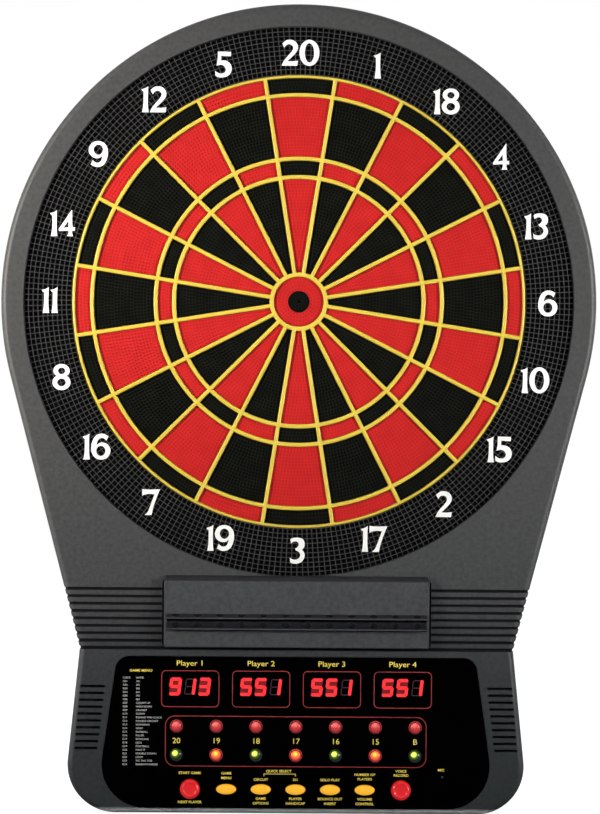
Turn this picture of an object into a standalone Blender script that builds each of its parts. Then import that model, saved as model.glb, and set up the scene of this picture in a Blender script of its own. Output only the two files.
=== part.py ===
"""Electronic dartboard: a wall-hung cabinet with a soft-tip target, a dart ledge and a control console.

Everything is modelled in the board's own frame: x to the player's right, y up, z out of the wall, with the
origin on the wall plane behind the bull. One empty, board_axis, stands that frame up in the world, where the
front of the board looks along -Y. Sizes are in metres.
"""

import math

import bmesh
import bpy
from mathutils import Matrix, Vector

# Cabinet outline
HEAD_RADIUS = 0.260
SHOULDER_LEAN = math.radians(14.7)
WAIST_Y = -0.3033
BOTTOM_Y = -0.4470
BOTTOM_HALF_WIDTH = 0.2038
BOTTOM_CORNER_RADIUS = 0.042
HEAD_STEP = math.radians(4.0)

# Cabinet shell
CASE_DEPTH = 0.050
CASE_WALL = 0.0035
RIM_ROUNDING = 0.0055
FIT_GAP = 0.0004
COVER_THICKNESS = 0.003

# Target, as distances from the bull's centre
WEDGES = 20
WEDGE_ANGLE = 2 * math.pi / WEDGES
NUMBERS = (20, 1, 18, 4, 13, 6, 10, 15, 2, 17, 3, 19, 7, 16, 8, 11, 14, 9, 12, 5)
TARGET_RADIUS = 0.1977
SPOKE_WIDTH = 0.0035
INNER_SINGLE = (0.0256, 0.1071)
TRIPLE = (0.1107, 0.1232)
OUTER_SINGLE = (0.1268, 0.1788)
DOUBLE = (0.1822, 0.1953)
BULL_RADIUS = 0.0213
INNER_BULL_RADIUS = 0.0092
SEGMENT_GAP = 0.0004
RING_STEPS = 2 * WEDGES

# Target, as heights above the wall
SPIDER_HEIGHTS = (0.0375, 0.0490)
PAD_HEIGHTS = (0.0360, 0.0465)
CARRIER_HEIGHTS = (0.0348, 0.0372)
MAT_HEIGHTS = (0.0305, 0.0325)
MATRIX_HEIGHTS = (0.0294, 0.0302)
BACKPLATE_HEIGHTS = (0.0241, 0.0291)
MAT_RADIUS = 0.199
BACKPLATE_RADIUS = 0.238

# Number ring
OPENING_RADIUS = 0.2401
RING_OUTER_RADIUS = 0.2397
RING_INNER_RADIUS = 0.1981
RING_FRONT = 0.0475

# Ribbed band beside the dart holder
RIB_COUNT = 9
RIB_PITCH = 0.00643
RIB_TOP_Y = -0.2514
RIB_INNER_X = 0.1175
RIB_GROOVE = 0.0018
RIB_DEPTH = 0.0016
RIB_SIDE_DEPTH = 0.0008

# Dart holder
HOLDER_HALF_WIDTH = 0.1157
HOLDER_Y = (-0.3019, -0.2392)
HOLDER_CORNERS = (0.004, 0.002)
HOLDER_BASE = 0.0503
HOLDER_RIM = 0.0028
HOLDER_WALL = 0.003
HOLDER_FRONT = 0.060
LEDGE_HALF_LENGTH = 0.1130
LEDGE_CENTRES = (-0.2743, -0.2836)
LEDGE_THICKNESS = 0.0042
LEDGE_REACH = 0.0685
DART_HOLES = 12
DART_HOLE_PITCH = 0.01905
DART_HOLE_RADIUS = 0.0033
DART_HOLE_HEIGHT = 0.0640

# Control window and what looks through it
WINDOW_TOP_Y = -0.3104
WINDOW_BOTTOM_Y = -0.4423
WINDOW_HALF_WIDTHS = (0.1560, 0.1746)
WINDOW_CORNERS = (0.012, 0.038)
WINDOW_HEIGHTS = (0.0481, 0.0500)
WINDOW_LIP = 0.0035
DISPLAY_PITCH = 0.0618
DISPLAY_Y = -0.3381
DISPLAY_SIZE = (0.046, 0.027)
DISPLAY_HEIGHTS = (0.0395, 0.0478)
LED_COLUMNS = 7
LED_PITCH = 0.0347
LED_ROWS = {"led_bar_upper": -0.3710, "led_bar_lower": -0.3959}
LED_RADIUS = 0.0054
LED_TOP = 0.0526
BUTTON_Y = -0.4257
ROUND_BUTTON_X = 0.092
OVAL_BUTTON_PITCH = 0.0302
ROUND_BUTTON_RADIUS = 0.0087
OVAL_BUTTON_SIZE = (0.0175, 0.0089)
BUTTON_TOP = 0.0540
BUTTON_CLEARANCE = 0.0004
BUTTON_FLANGE = (0.0458, 0.0477)
BUTTON_STEM_END = 0.0430

# Side vents
VENTS_PER_SIDE = 10
VENT_PITCH = 0.0060
VENT_TOP_Y = -0.3366
VENT_HEIGHT = 0.0017
VENT_X_TOP = (0.1668, 0.1885)
VENT_X_BOTTOM = (0.1731, 0.1930)

# Back cover, screws and hanging keyholes
BOSS_PLACES = ((0.160, 0.1903), (0.2300, -0.0940), (0.1795, -0.4220))
BOSS_RADIUS = 0.0045
BOSS_HOLE_RADIUS = 0.0018
KEYHOLES = ((0.0, 0.205), (-0.120, -0.290), (0.120, -0.290))
KEYHOLE_RADIUS = 0.0052
KEYHOLE_SLOT = (0.0056, 0.012)

# Inlet and switch in the bottom edge
INLET_HEIGHT = 0.020
JACK_X = 0.120
JACK_HOLE_RADIUS = 0.0049
SWITCH_X = 0.088
SWITCH_TRAVEL = 0.0036
SWITCH_SLOT = (0.0120, 0.0040)
SPEAKER = (-0.1720, -0.3620)
MICROPHONE = (0.128, -0.4140)
SCREW_HOLE_RADIUS = 0.0021
SCREW_RECESS = (0.0041, 0.0018)

CHARCOAL = (0.075, 0.079, 0.082)
BLACK = (0.010, 0.011, 0.010)
RED = (0.72, 0.025, 0.022)
YELLOW = (0.86, 0.74, 0.06)
AMBER = (0.92, 0.46, 0.03)


def clear_scene():
    for obj in list(bpy.data.objects):
        bpy.data.objects.remove(obj, do_unlink=True)


def collection(name):
    made = bpy.data.collections.new(name)
    bpy.context.scene.collection.children.link(made)
    return made


def material(name, colour, roughness, metallic=0.0):
    made = bpy.data.materials.new(name)
    made.use_nodes = True
    shader = made.node_tree.nodes["Principled BSDF"]
    shader.inputs["Base Color"].default_value = (*colour, 1.0)
    shader.inputs["Roughness"].default_value = roughness
    shader.inputs["Metallic"].default_value = metallic
    return made


clear_scene()
PARTS = collection("electronic_dartboard")
CUTTERS = collection("cutters")

BOARD_AXIS = bpy.data.objects.new("board_axis", None)
BOARD_AXIS.rotation_euler = (math.pi / 2, 0, 0)
PARTS.objects.link(BOARD_AXIS)
bpy.context.view_layer.update()

HOUSING_PLASTIC = material("charcoal_housing_plastic", CHARCOAL, 0.55)
BLACK_PLASTIC = material("black_plastic", BLACK, 0.5)
RED_PLASTIC = material("red_segment_plastic", RED, 0.45)
YELLOW_PLASTIC = material("yellow_web_plastic", YELLOW, 0.4)
WINDOW_PLASTIC = material("gloss_black_window", BLACK, 0.15)
BUTTON_RED = material("red_button_plastic", RED, 0.15)
BUTTON_AMBER = material("amber_button_plastic", AMBER, 0.25)
LENS_PLASTIC = material("lamp_lens_plastic", (0.45, 0.03, 0.03), 0.15)
DARK_RUBBER = material("dark_rubber", (0.02, 0.02, 0.02), 0.9)
MEMBRANE = material("membrane_film", (0.55, 0.58, 0.55), 0.35)
HARDBOARD = material("hardboard", (0.22, 0.12, 0.06), 0.8)
CIRCUIT_BOARD = material("circuit_board", (0.02, 0.14, 0.05), 0.4)
SCREW_STEEL = material("screw_steel", (0.55, 0.55, 0.56), 0.35, 1.0)


# Outlines in the x, y plane


def polar(radius, angle):
    """The point at this distance, with the angle measured clockwise from straight up."""
    return Vector((radius * math.sin(angle), radius * math.cos(angle)))


def fillet(before, corner, after, radius, steps=6):
    """Points of the arc that rounds a corner between two straight edges."""
    back = (before - corner).normalized()
    ahead = (after - corner).normalized()
    half_angle = back.angle(ahead) / 2
    centre = corner + (back + ahead).normalized() * radius / math.sin(half_angle)
    start = corner + back * radius / math.tan(half_angle) - centre
    end = corner + ahead * radius / math.tan(half_angle) - centre
    turn = start.angle_signed(end)
    return [centre + rotated(start, -turn * step / steps) for step in range(steps + 1)]


def rotated(vector, angle):
    cosine, sine = math.cos(angle), math.sin(angle)
    return Vector((vector.x * cosine - vector.y * sine, vector.x * sine + vector.y * cosine))


def mirrored(right_side):
    """A closed outline from the points of its right side, listed from top to bottom."""
    left_side = [Vector((-p.x, p.y)) for p in reversed(right_side) if p.x > 1e-6]
    return right_side + left_side


def inset(points, distance):
    """A clockwise outline moved inwards by a distance, with its corners kept sharp."""
    moved = []
    for before, here, after in zip(points[-1:] + points[:-1], points, points[1:] + points[:1]):
        first = (here - before).normalized()
        second = (after - here).normalized()
        normal = (Vector((first.y, -first.x)) + Vector((second.y, -second.x))).normalized()
        moved.append(here + normal * distance / normal.dot(Vector((first.y, -first.x))))
    return moved


def circle(radius, centre=(0.0, 0.0), steps=RING_STEPS):
    """A clockwise ring of points, one of them straight up."""
    return [polar(radius, 2 * math.pi * step / steps) + Vector(centre) for step in range(steps)]


def rectangle(left, right, low, high):
    return [Vector(p) for p in ((left, high), (right, high), (right, low), (left, low))]


def ellipse(width, height, centre, steps=12):
    half = Vector((width / 2, height / 2))
    return [polar(1.0, 2 * math.pi * (step + 0.5) / steps) * half + Vector(centre) for step in range(steps)]


def waist_point():
    """Where the leaning shoulder, tangent to the head's circle, meets the waist."""
    tangent = HEAD_RADIUS * Vector((math.cos(SHOULDER_LEAN), -math.sin(SHOULDER_LEAN)))
    drop = tangent.y - WAIST_Y
    return Vector((tangent.x - drop * math.tan(SHOULDER_LEAN), WAIST_Y))


def cabinet_outline():
    end_angle = math.pi / 2 + SHOULDER_LEAN
    steps = round(end_angle / HEAD_STEP)
    head = [polar(HEAD_RADIUS, end_angle * step / steps) for step in range(steps + 1)]
    waist = waist_point()
    corner = Vector((BOTTOM_HALF_WIDTH, BOTTOM_Y))
    return mirrored(head + [waist] + fillet(waist, corner, Vector((0, BOTTOM_Y)), BOTTOM_CORNER_RADIUS, 8))


def half_width_at(y):
    """Half the width of the leaning shoulder at this height."""
    return waist_point().x + (y - WAIST_Y) * math.tan(SHOULDER_LEAN)


def window_outline():
    top = Vector((WINDOW_HALF_WIDTHS[0], WINDOW_TOP_Y))
    bottom = Vector((WINDOW_HALF_WIDTHS[1], WINDOW_BOTTOM_Y))
    upper = fillet(Vector((0, WINDOW_TOP_Y)), top, bottom, WINDOW_CORNERS[0], 4)
    lower = fillet(top, bottom, Vector((0, WINDOW_BOTTOM_Y)), WINDOW_CORNERS[1], 7)
    return mirrored(upper + lower)


def cell_outline(band, middle=0.0, half_wall=SPOKE_WIDTH / 2):
    """The gap between two spokes and two rings, about the wedge's middle angle."""
    inner, outer = band

    def side(radius):
        return WEDGE_ANGLE / 2 - math.asin(half_wall / radius)

    outer_arc = [polar(outer, middle + side(outer) * share) for share in (-1, 0, 1)]
    inner_arc = [polar(inner, middle + side(inner) * share) for share in (1, 0, -1)]
    return outer_arc + inner_arc


# Solids


def add(name, mesh, finish=None, group=PARTS, place=(0, 0, 0)):
    obj = bpy.data.objects.new(name, mesh)
    if finish:
        mesh.materials.append(finish)
    obj.parent = BOARD_AXIS
    obj.location = place
    group.objects.link(obj)
    if group is CUTTERS:
        obj.hide_render = True
        obj.display_type = "WIRE"
    return obj


def extruded(name, outlines, heights, finish=None, group=PARTS, place=(0, 0, 0), rim=0.0, rim_steps=3):
    """Flat outlines, the inner ones as holes, given a thickness between two heights.

    A rim rounds the outer edges of both faces by that radius.
    """
    curve = bpy.data.curves.new(name, "CURVE")
    curve.dimensions = "2D"
    curve.fill_mode = "BOTH"
    curve.extrude = (heights[1] - heights[0]) / 2 - rim
    curve.bevel_depth = rim
    curve.bevel_resolution = rim_steps - 1
    curve.offset = -rim
    for points in outlines:
        spline = curve.splines.new("POLY")
        spline.points.add(len(points) - 1)
        spline.use_cyclic_u = True
        for slot, point in zip(spline.points, points):
            slot.co = (point.x, point.y, 0, 1)
    obj = bpy.data.objects.new(name, curve)
    bpy.context.scene.collection.objects.link(obj)
    mesh = meshed(obj)
    mesh.transform(Matrix.Translation((0, 0, (heights[0] + heights[1]) / 2)))
    return add(name, mesh, finish, group, place)


def meshed(obj):
    """The object's evaluated mesh, its caps welded and its flat faces made whole. The object is removed."""
    bpy.context.view_layer.update()
    graph = bpy.context.evaluated_depsgraph_get()
    mesh = bpy.data.meshes.new_from_object(obj.evaluated_get(graph))
    name = obj.name
    bpy.data.objects.remove(obj, do_unlink=True)
    mesh.name = name
    work = bmesh.new()
    work.from_mesh(mesh)
    bmesh.ops.remove_doubles(work, verts=work.verts, dist=1e-6)
    bmesh.ops.dissolve_limit(work, angle_limit=1e-4, verts=work.verts, edges=work.edges)
    bmesh.ops.recalc_face_normals(work, faces=work.faces)
    work.to_mesh(mesh)
    work.free()
    return mesh


def box(name, low, high, finish=None, group=PARTS):
    mesh = bpy.data.meshes.new(name)
    work = bmesh.new()
    bmesh.ops.create_cube(work, size=1.0)
    size = Vector(high) - Vector(low)
    bmesh.ops.scale(work, vec=size, verts=work.verts)
    bmesh.ops.translate(work, vec=Vector(low) + size / 2, verts=work.verts)
    work.to_mesh(mesh)
    work.free()
    return add(name, mesh, finish, group)


def turned(name, profile, steps, finish=None, group=PARTS, place=(0, 0, 0)):
    """A shape turned about its own z axis. The profile is (radius, height) points, down its outer side."""
    mesh = bpy.data.meshes.new(name)
    closed = profile[0][0] > 0
    edges = [(i, i + 1) for i in range(len(profile) - 1)]
    if closed:
        edges.append((len(profile) - 1, 0))
    mesh.from_pydata([(radius, 0, height) for radius, height in profile], edges, [])
    obj = add(name, mesh, finish, group, place)
    screw = obj.modifiers.new("turn", "SCREW")
    screw.steps = steps
    screw.render_steps = steps
    screw.use_merge_vertices = True
    screw.merge_threshold = 0.00001
    return obj


def cut(obj, cutter, operation="DIFFERENCE"):
    modifier = obj.modifiers.new(cutter.name, "BOOLEAN")
    modifier.operation = operation
    modifier.object = cutter
    return modifier


def helper(name, outlines, heights):
    return extruded(name, outlines, heights, group=CUTTERS)


def merged(obj):
    """The object with its modifiers made part of its mesh."""
    bpy.context.view_layer.update()
    graph = bpy.context.evaluated_depsgraph_get()
    mesh = bpy.data.meshes.new_from_object(obj.evaluated_get(graph))
    mesh.name = obj.name
    obj.modifiers.clear()
    obj.data = mesh
    return obj


# Cabinet


def trim_below(obj, height):
    """Cuts away everything of the object that lies below this height."""
    reach = HEAD_RADIUS - BOTTOM_Y
    low, high = (-reach, -reach, height - CASE_DEPTH), (reach, reach, height)
    cut(obj, box(obj.name + "_trim", low, high, group=CUTTERS))


def boss_places():
    return [Vector((side * x, y)) for x, y in BOSS_PLACES for side in (1, -1)]


def rib_grooves():
    """Horizontal grooves across the face beside the dart holder, and a last one across the whole waist."""
    past_rim = 0.020
    loops = []
    for rib in range(RIB_COUNT):
        y = RIB_TOP_Y - rib * RIB_PITCH
        low, high = y - RIB_GROOVE / 2, y + RIB_GROOVE / 2
        reach = half_width_at(y) + past_rim
        if rib == RIB_COUNT - 1:
            loops.append(rectangle(-reach, reach, low, high))
        else:
            loops.append(rectangle(RIB_INNER_X, reach, low, high))
            loops.append(rectangle(-reach, -RIB_INNER_X, low, high))
    return helper("rib_grooves", loops, (CASE_DEPTH - RIB_DEPTH, CASE_DEPTH + 0.01))


def side_grooves():
    """The same grooves carried round the corner and down the side walls."""
    loops = []
    for rib in range(RIB_COUNT):
        y = RIB_TOP_Y - rib * RIB_PITCH
        low, high = y - RIB_GROOVE / 2, y + RIB_GROOVE / 2
        floor = half_width_at(y) - RIB_SIDE_DEPTH
        loops.append(rectangle(floor, floor + 0.02, low, high))
        loops.append(rectangle(-floor - 0.02, -floor, low, high))
    return helper("side_grooves", loops, (0.012, CASE_DEPTH + 0.01))


def vent_slots():
    """Ten slots on each side of the window, following the slope of the console's side."""
    loops = []
    for slot in range(VENTS_PER_SIDE):
        share = slot / (VENTS_PER_SIDE - 1)
        y = VENT_TOP_Y - slot * VENT_PITCH
        inner = VENT_X_TOP[0] + share * (VENT_X_BOTTOM[0] - VENT_X_TOP[0])
        outer = VENT_X_TOP[1] + share * (VENT_X_BOTTOM[1] - VENT_X_TOP[1])
        low, high = y - VENT_HEIGHT / 2, y + VENT_HEIGHT / 2
        loops.append(rectangle(inner, outer, low, high))
        loops.append(rectangle(-outer, -inner, low, high))
    return helper("vent_slots", loops, (CASE_DEPTH - 2 * CASE_WALL, CASE_DEPTH + 0.01))


def make_front_housing():
    outline = cabinet_outline()
    block = (-2 * RIM_ROUNDING, CASE_DEPTH)
    housing = extruded("front_housing", [outline], block, HOUSING_PLASTIC, rim=RIM_ROUNDING)
    trim_below(housing, 0.0)
    cavity = helper("case_cavity", [inset(outline, CASE_WALL)], (-0.01, CASE_DEPTH - CASE_WALL))
    cut(housing, cavity)
    boss_heights = (COVER_THICKNESS + 0.0003, CASE_DEPTH - CASE_WALL / 2)
    bosses = helper("screw_bosses", [circle(BOSS_RADIUS, p, 8) for p in boss_places()], boss_heights)
    cut(housing, bosses, "UNION")
    hole_heights = (-0.01, 0.022)
    cut(housing, helper("boss_holes", [circle(BOSS_HOLE_RADIUS, p, 8) for p in boss_places()], hole_heights))
    through = (CASE_DEPTH - 2 * CASE_WALL, CASE_DEPTH + 0.01)
    cut(housing, helper("target_opening", [circle(OPENING_RADIUS)], through))
    pocket = inset(window_outline(), -FIT_GAP)
    cut(housing, helper("window_pocket", [pocket], (WINDOW_HEIGHTS[0] - 0.0003, CASE_DEPTH + 0.01)))
    cut(housing, helper("window_through", [inset(window_outline(), WINDOW_LIP)], through))
    cut(housing, vent_slots())
    cut(housing, rib_grooves())
    cut(housing, side_grooves())
    cut(housing, jack_hole())
    cut(housing, switch_slot())
    return housing


def jack_hole():
    profile = [(0, 0.02), (JACK_HOLE_RADIUS, 0.02), (JACK_HOLE_RADIUS, -0.02), (0, -0.02)]
    hole = turned("jack_hole", profile, 12, group=CUTTERS)
    hole.location = (JACK_X, BOTTOM_Y, INLET_HEIGHT)
    hole.rotation_euler = (math.pi / 2, 0, 0)
    return hole


def switch_slot():
    half_width, half_height = (size / 2 for size in SWITCH_SLOT)
    low = (SWITCH_X - half_width, BOTTOM_Y - 0.01, INLET_HEIGHT - half_height)
    high = (SWITCH_X + half_width, BOTTOM_Y + 0.01, INLET_HEIGHT + half_height)
    return box("switch_slot", low, high, group=CUTTERS)


def keyhole_outline(centre):
    """A round entry with a narrower slot above it."""
    half_slot = KEYHOLE_SLOT[0] / 2
    lift_angle = math.asin(half_slot / KEYHOLE_RADIUS)
    steps = 10
    turn = 2 * (math.pi - lift_angle) / steps
    entry = [polar(KEYHOLE_RADIUS, lift_angle + turn * step) for step in range(steps + 1)]
    top_centre = Vector((0, KEYHOLE_SLOT[1]))
    top = [top_centre + polar(half_slot, math.pi * (share / 4 - 0.5)) for share in range(5)]
    return [p + Vector(centre) for p in entry + top]


def make_back_cover():
    outline = inset(cabinet_outline(), CASE_WALL + FIT_GAP)
    cover = extruded("back_cover", [outline], (0.0, COVER_THICKNESS), HOUSING_PLASTIC)
    through = (-0.01, 0.01)
    cut(cover, helper("cover_holes", [circle(SCREW_HOLE_RADIUS, p, 8) for p in boss_places()], through))
    radius, depth = SCREW_RECESS
    cut(cover, helper("cover_recesses", [circle(radius, p, 8) for p in boss_places()], (-0.01, depth)))
    cut(cover, helper("keyholes", [keyhole_outline(p) for p in KEYHOLES], through))
    return cover


def make_cover_screws():
    """Flat-headed screws up through the cover into the bosses."""
    profile = [(0, 0.016), (0.0006, 0.016), (0.0014, 0.0135), (0.0014, 0.0015), (0.0036, 0.0015)]
    profile += [(0.0036, 0.0002), (0, 0.0002)]
    for index, place in enumerate(boss_places()):
        turned(f"cover_screw_{index + 1}", profile, 8, SCREW_STEEL, place=(place.x, place.y, 0))


# Target


def make_number_ring():
    """The ring round the target, with a flange behind the housing and a skirt down to the backplate."""
    flange_radius = 0.2436
    profile = [
        (RING_INNER_RADIUS, RING_FRONT),
        (RING_OUTER_RADIUS, RING_FRONT),
        (RING_OUTER_RADIUS, 0.0462),
        (flange_radius, 0.0462),
        (flange_radius, 0.0437),
        (0.2350, 0.0437),
        (0.2350, BACKPLATE_HEIGHTS[1] + 0.0003),
        (0.2300, BACKPLATE_HEIGHTS[1] + 0.0003),
        (0.2300, SPIDER_HEIGHTS[0]),
        (RING_INNER_RADIUS, SPIDER_HEIGHTS[0]),
    ]
    return turned("number_ring", profile, RING_STEPS, BLACK_PLASTIC)


def make_spider():
    outlines = [circle(TARGET_RADIUS)]
    for wedge in range(WEDGES):
        for band in (INNER_SINGLE, TRIPLE, OUTER_SINGLE, DOUBLE):
            outlines.append(cell_outline(band, wedge * WEDGE_ANGLE))
    outlines.append(circle(BULL_RADIUS + SEGMENT_GAP, steps=WEDGES))
    return extruded("spider", outlines, SPIDER_HEIGHTS, YELLOW_PLASTIC)


def wedge_mesh():
    """Four pads standing on one carrier, pointing straight up from the bull."""
    carrier_band = (INNER_SINGLE[0] + SEGMENT_GAP, DOUBLE[1] + 0.0010)
    carrier_gap = 0.0003
    carrier = extruded("wedge", [cell_outline(carrier_band, half_wall=carrier_gap)], CARRIER_HEIGHTS)
    pads = [inset(cell_outline(band), SEGMENT_GAP) for band in (INNER_SINGLE, TRIPLE, OUTER_SINGLE, DOUBLE)]
    cut(carrier, helper("wedge_pads", pads, PAD_HEIGHTS), "UNION")
    mesh = merged(carrier).data
    bpy.data.objects.remove(carrier, do_unlink=True)
    mesh.materials.append(RED_PLASTIC)
    return mesh


def make_segments():
    """Twenty wedges, red and black in turn, each turned to its number's place."""
    mesh = wedge_mesh()
    for place, number in enumerate(NUMBERS):
        segment = bpy.data.objects.new(f"segment_{number}", mesh)
        segment.parent = BOARD_AXIS
        segment.rotation_euler = (0, 0, -place * WEDGE_ANGLE)
        PARTS.objects.link(segment)
        segment.material_slots[0].link = "OBJECT"
        segment.material_slots[0].material = BLACK_PLASTIC if place % 2 else RED_PLASTIC


def make_bulls():
    hole = INNER_BULL_RADIUS + SEGMENT_GAP
    low, high = CARRIER_HEIGHTS[0], PAD_HEIGHTS[1]
    outer_profile = [(hole, high), (BULL_RADIUS, high), (BULL_RADIUS, low), (hole, low)]
    outer = turned("outer_bull", outer_profile, WEDGES, RED_PLASTIC)
    inner_profile = [(0, high), (INNER_BULL_RADIUS, high), (INNER_BULL_RADIUS, low), (0, low)]
    inner = turned("inner_bull", inner_profile, WEDGES, BLACK_PLASTIC)
    return outer, inner


def make_target_backing():
    """The soft mat, the switch membrane with its tail, and the stiff board that the tail passes through."""
    extruded("rubber_mat", [circle(MAT_RADIUS)], MAT_HEIGHTS, DARK_RUBBER)
    matrix = extruded("sensor_matrix", [circle(MAT_RADIUS)], MATRIX_HEIGHTS, MEMBRANE)
    tail_half, tail_y, film = 0.020, -0.190, 0.0008
    low = (-tail_half, tail_y - film / 2, BACKPLATE_HEIGHTS[0] - 0.008)
    high = (tail_half, tail_y + film / 2, MATRIX_HEIGHTS[0] + film / 2)
    cut(matrix, box("matrix_tail", low, high, group=CUTTERS), "UNION")
    slot = rectangle(-tail_half - 0.002, tail_half + 0.002, tail_y - 0.002, tail_y + 0.002)
    extruded("target_backplate", [circle(BACKPLATE_RADIUS), slot], BACKPLATE_HEIGHTS, HARDBOARD)


# Dart holder


def make_dart_holder():
    """A hollow raised block with a slot between two drilled ledges."""
    low, high = HOLDER_Y
    top = Vector((HOLDER_HALF_WIDTH, high))
    bottom = Vector((HOLDER_HALF_WIDTH, low))
    right = fillet(Vector((0, high)), top, bottom, HOLDER_CORNERS[0], 3)
    right += fillet(top, bottom, Vector((0, low)), HOLDER_CORNERS[1], 2)
    block = (HOLDER_BASE - 2 * HOLDER_RIM, HOLDER_FRONT)
    holder = extruded("dart_holder", [mirrored(right)], block, HOUSING_PLASTIC, rim=HOLDER_RIM, rim_steps=2)
    trim_below(holder, HOLDER_BASE)
    inside = HOLDER_HALF_WIDTH - HOLDER_WALL
    hollow = rectangle(-inside, inside, low + HOLDER_WALL, high - HOLDER_WALL - 0.001)
    cut(holder, helper("holder_hollow", [hollow], (HOLDER_BASE - 0.01, HOLDER_BASE + 0.0022)))
    slot_top = LEDGE_CENTRES[0] - LEDGE_THICKNESS / 2
    slot_bottom = LEDGE_CENTRES[1] + LEDGE_THICKNESS / 2
    slot = rectangle(-LEDGE_HALF_LENGTH, LEDGE_HALF_LENGTH, slot_bottom, slot_top)
    slot_depth = 0.0050
    cut(holder, helper("ledge_slot", [slot], (HOLDER_FRONT - slot_depth, HOLDER_FRONT + 0.01)))
    for name, centre in zip(("upper_ledge", "lower_ledge"), LEDGE_CENTRES):
        cut(holder, ledge(name, centre), "UNION")
    cut(holder, dart_holes())
    return holder


def ledge(name, centre):
    """A shelf whose top slopes down to a thinner front edge."""
    root = HOLDER_FRONT - 0.0010
    half = LEDGE_THICKNESS / 2
    section = [(root, half), (root + 0.0012, half), (LEDGE_REACH - 0.0006, -0.0002), (LEDGE_REACH, -0.0008)]
    section += [(LEDGE_REACH, -half), (root, -half)]
    length = 2 * LEDGE_HALF_LENGTH
    shelf = extruded(name, [[Vector(p) for p in section]], (-length / 2, length / 2), group=CUTTERS)
    # The section's first coordinate points out of the wall and its length lies along x.
    shelf.rotation_euler = (0, -math.pi / 2, 0)
    shelf.location = (0, centre, 0)
    return shelf


def dart_holes():
    """Twelve octagonal holes straight down through both ledges."""
    middle = (DART_HOLES - 1) / 2
    corner_radius = DART_HOLE_RADIUS / math.cos(math.pi / 8)
    loops = []
    for hole in range(DART_HOLES):
        centre = Vector(((hole - middle) * DART_HOLE_PITCH, -DART_HOLE_HEIGHT))
        octagon = [polar(corner_radius, (step + 0.5) * math.pi / 4) + centre for step in range(8)]
        loops.append(octagon)
    drill = helper("dart_holes", loops, (HOLDER_Y[0], HOLDER_Y[1]))
    # Turned so that its depth runs up the board and its second coordinate runs into the wall.
    drill.rotation_euler = (-math.pi / 2, 0, 0)
    return drill


# Console


def led_places():
    middle = (LED_COLUMNS - 1) / 2
    return [(column - middle) * LED_PITCH for column in range(LED_COLUMNS)]


def oval_button_places():
    names = ("menu_button", "circuit_button", "handicap_button", "solo_button", "players_button")
    return {name: (index - 2) * OVAL_BUTTON_PITCH for index, name in enumerate(names)}


def make_control_window():
    holes = []
    for y in LED_ROWS.values():
        holes += [circle(LED_RADIUS + 0.0004, (x, y), 8) for x in led_places()]
    for x in (-ROUND_BUTTON_X, ROUND_BUTTON_X):
        holes.append(circle(ROUND_BUTTON_RADIUS + BUTTON_CLEARANCE, (x, BUTTON_Y), 16))
    for x in oval_button_places().values():
        width, height = (size + 2 * BUTTON_CLEARANCE for size in OVAL_BUTTON_SIZE)
        holes.append(ellipse(width, height, (x, BUTTON_Y)))
    holes.append(circle(0.0010, MICROPHONE, 6))
    return extruded("control_window", [window_outline()] + holes, WINDOW_HEIGHTS, WINDOW_PLASTIC)


def make_displays():
    width, height = DISPLAY_SIZE
    for index in range(4):
        x = (index - 1.5) * DISPLAY_PITCH
        low = (x - width / 2, DISPLAY_Y - height / 2, DISPLAY_HEIGHTS[0])
        high = (x + width / 2, DISPLAY_Y + height / 2, DISPLAY_HEIGHTS[1])
        box(f"display_{index + 1}", low, high, WINDOW_PLASTIC)


def make_led_bars():
    """Each bar carries seven round lamps that stand through the window."""
    for name, y in LED_ROWS.items():
        half_length = LED_PITCH * 3 + 0.006
        bar = box(name, (-half_length, y - 0.0045, 0.0395), (half_length, y + 0.0045, 0.0440), LENS_PLASTIC)
        lamps = [circle(LED_RADIUS, (x, y), 8) for x in led_places()]
        cut(bar, helper(name + "_lamps", lamps, (0.0420, LED_TOP)), "UNION")


def make_button(name, outline, flange, x, finish):
    """A cap with a flange that keeps it behind the window, and a stem towards the silicone sheet."""
    place = (x, BUTTON_Y, 0)
    button = extruded(name, [outline], (BUTTON_STEM_END, BUTTON_TOP), finish, place=place)
    skirt = helper(name + "_flange", [flange], BUTTON_FLANGE)
    skirt.location = place
    cut(button, skirt, "UNION")
    return button


def make_buttons():
    radius = ROUND_BUTTON_RADIUS
    for name, x in (("start_button", -ROUND_BUTTON_X), ("record_button", ROUND_BUTTON_X)):
        cap = circle(radius, steps=16)
        make_button(name, cap, circle(radius + 0.0016, steps=16), x, BUTTON_RED)
    width, height = OVAL_BUTTON_SIZE
    for name, x in oval_button_places().items():
        cap = ellipse(width, height, (0, 0))
        make_button(name, cap, ellipse(width + 0.0032, height + 0.0032, (0, 0)), x, BUTTON_AMBER)


def make_console_boards():
    box("display_board", (-0.135, -0.4070, 0.0376), (0.135, -0.3200, 0.0392), CIRCUIT_BOARD)
    box("button_board", (-0.118, -0.4385, 0.0373), (0.118, -0.4130, 0.0389), CIRCUIT_BOARD)
    box("keypad_mat", (-0.113, -0.4370, 0.0392), (0.113, -0.4145, 0.0411), DARK_RUBBER)
    board = box("main_board", (-0.110, -0.4200, 0.0120), (0.030, -0.3300, 0.0136), CIRCUIT_BOARD)
    cut(board, box("chip", (-0.060, -0.385, 0.0130), (-0.030, -0.365, 0.0165), group=CUTTERS), "UNION")
    cut(board, box("tail_socket", (-0.020, -0.345, 0.0130), (0.020, -0.337, 0.0200), group=CUTTERS), "UNION")


# Sound and power


def make_speaker():
    """A frame with a shallow cone in front and a magnet behind."""
    profile = [(0, 0.0370), (0.0060, 0.0380), (0.0150, 0.0450), (0.0180, 0.0450), (0.0180, 0.0425)]
    profile += [(0.0140, 0.0400), (0.0120, 0.0330), (0.0120, 0.0260), (0, 0.0260)]
    return turned("speaker", profile, 12, BLACK_PLASTIC, place=(*SPEAKER, 0))


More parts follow.
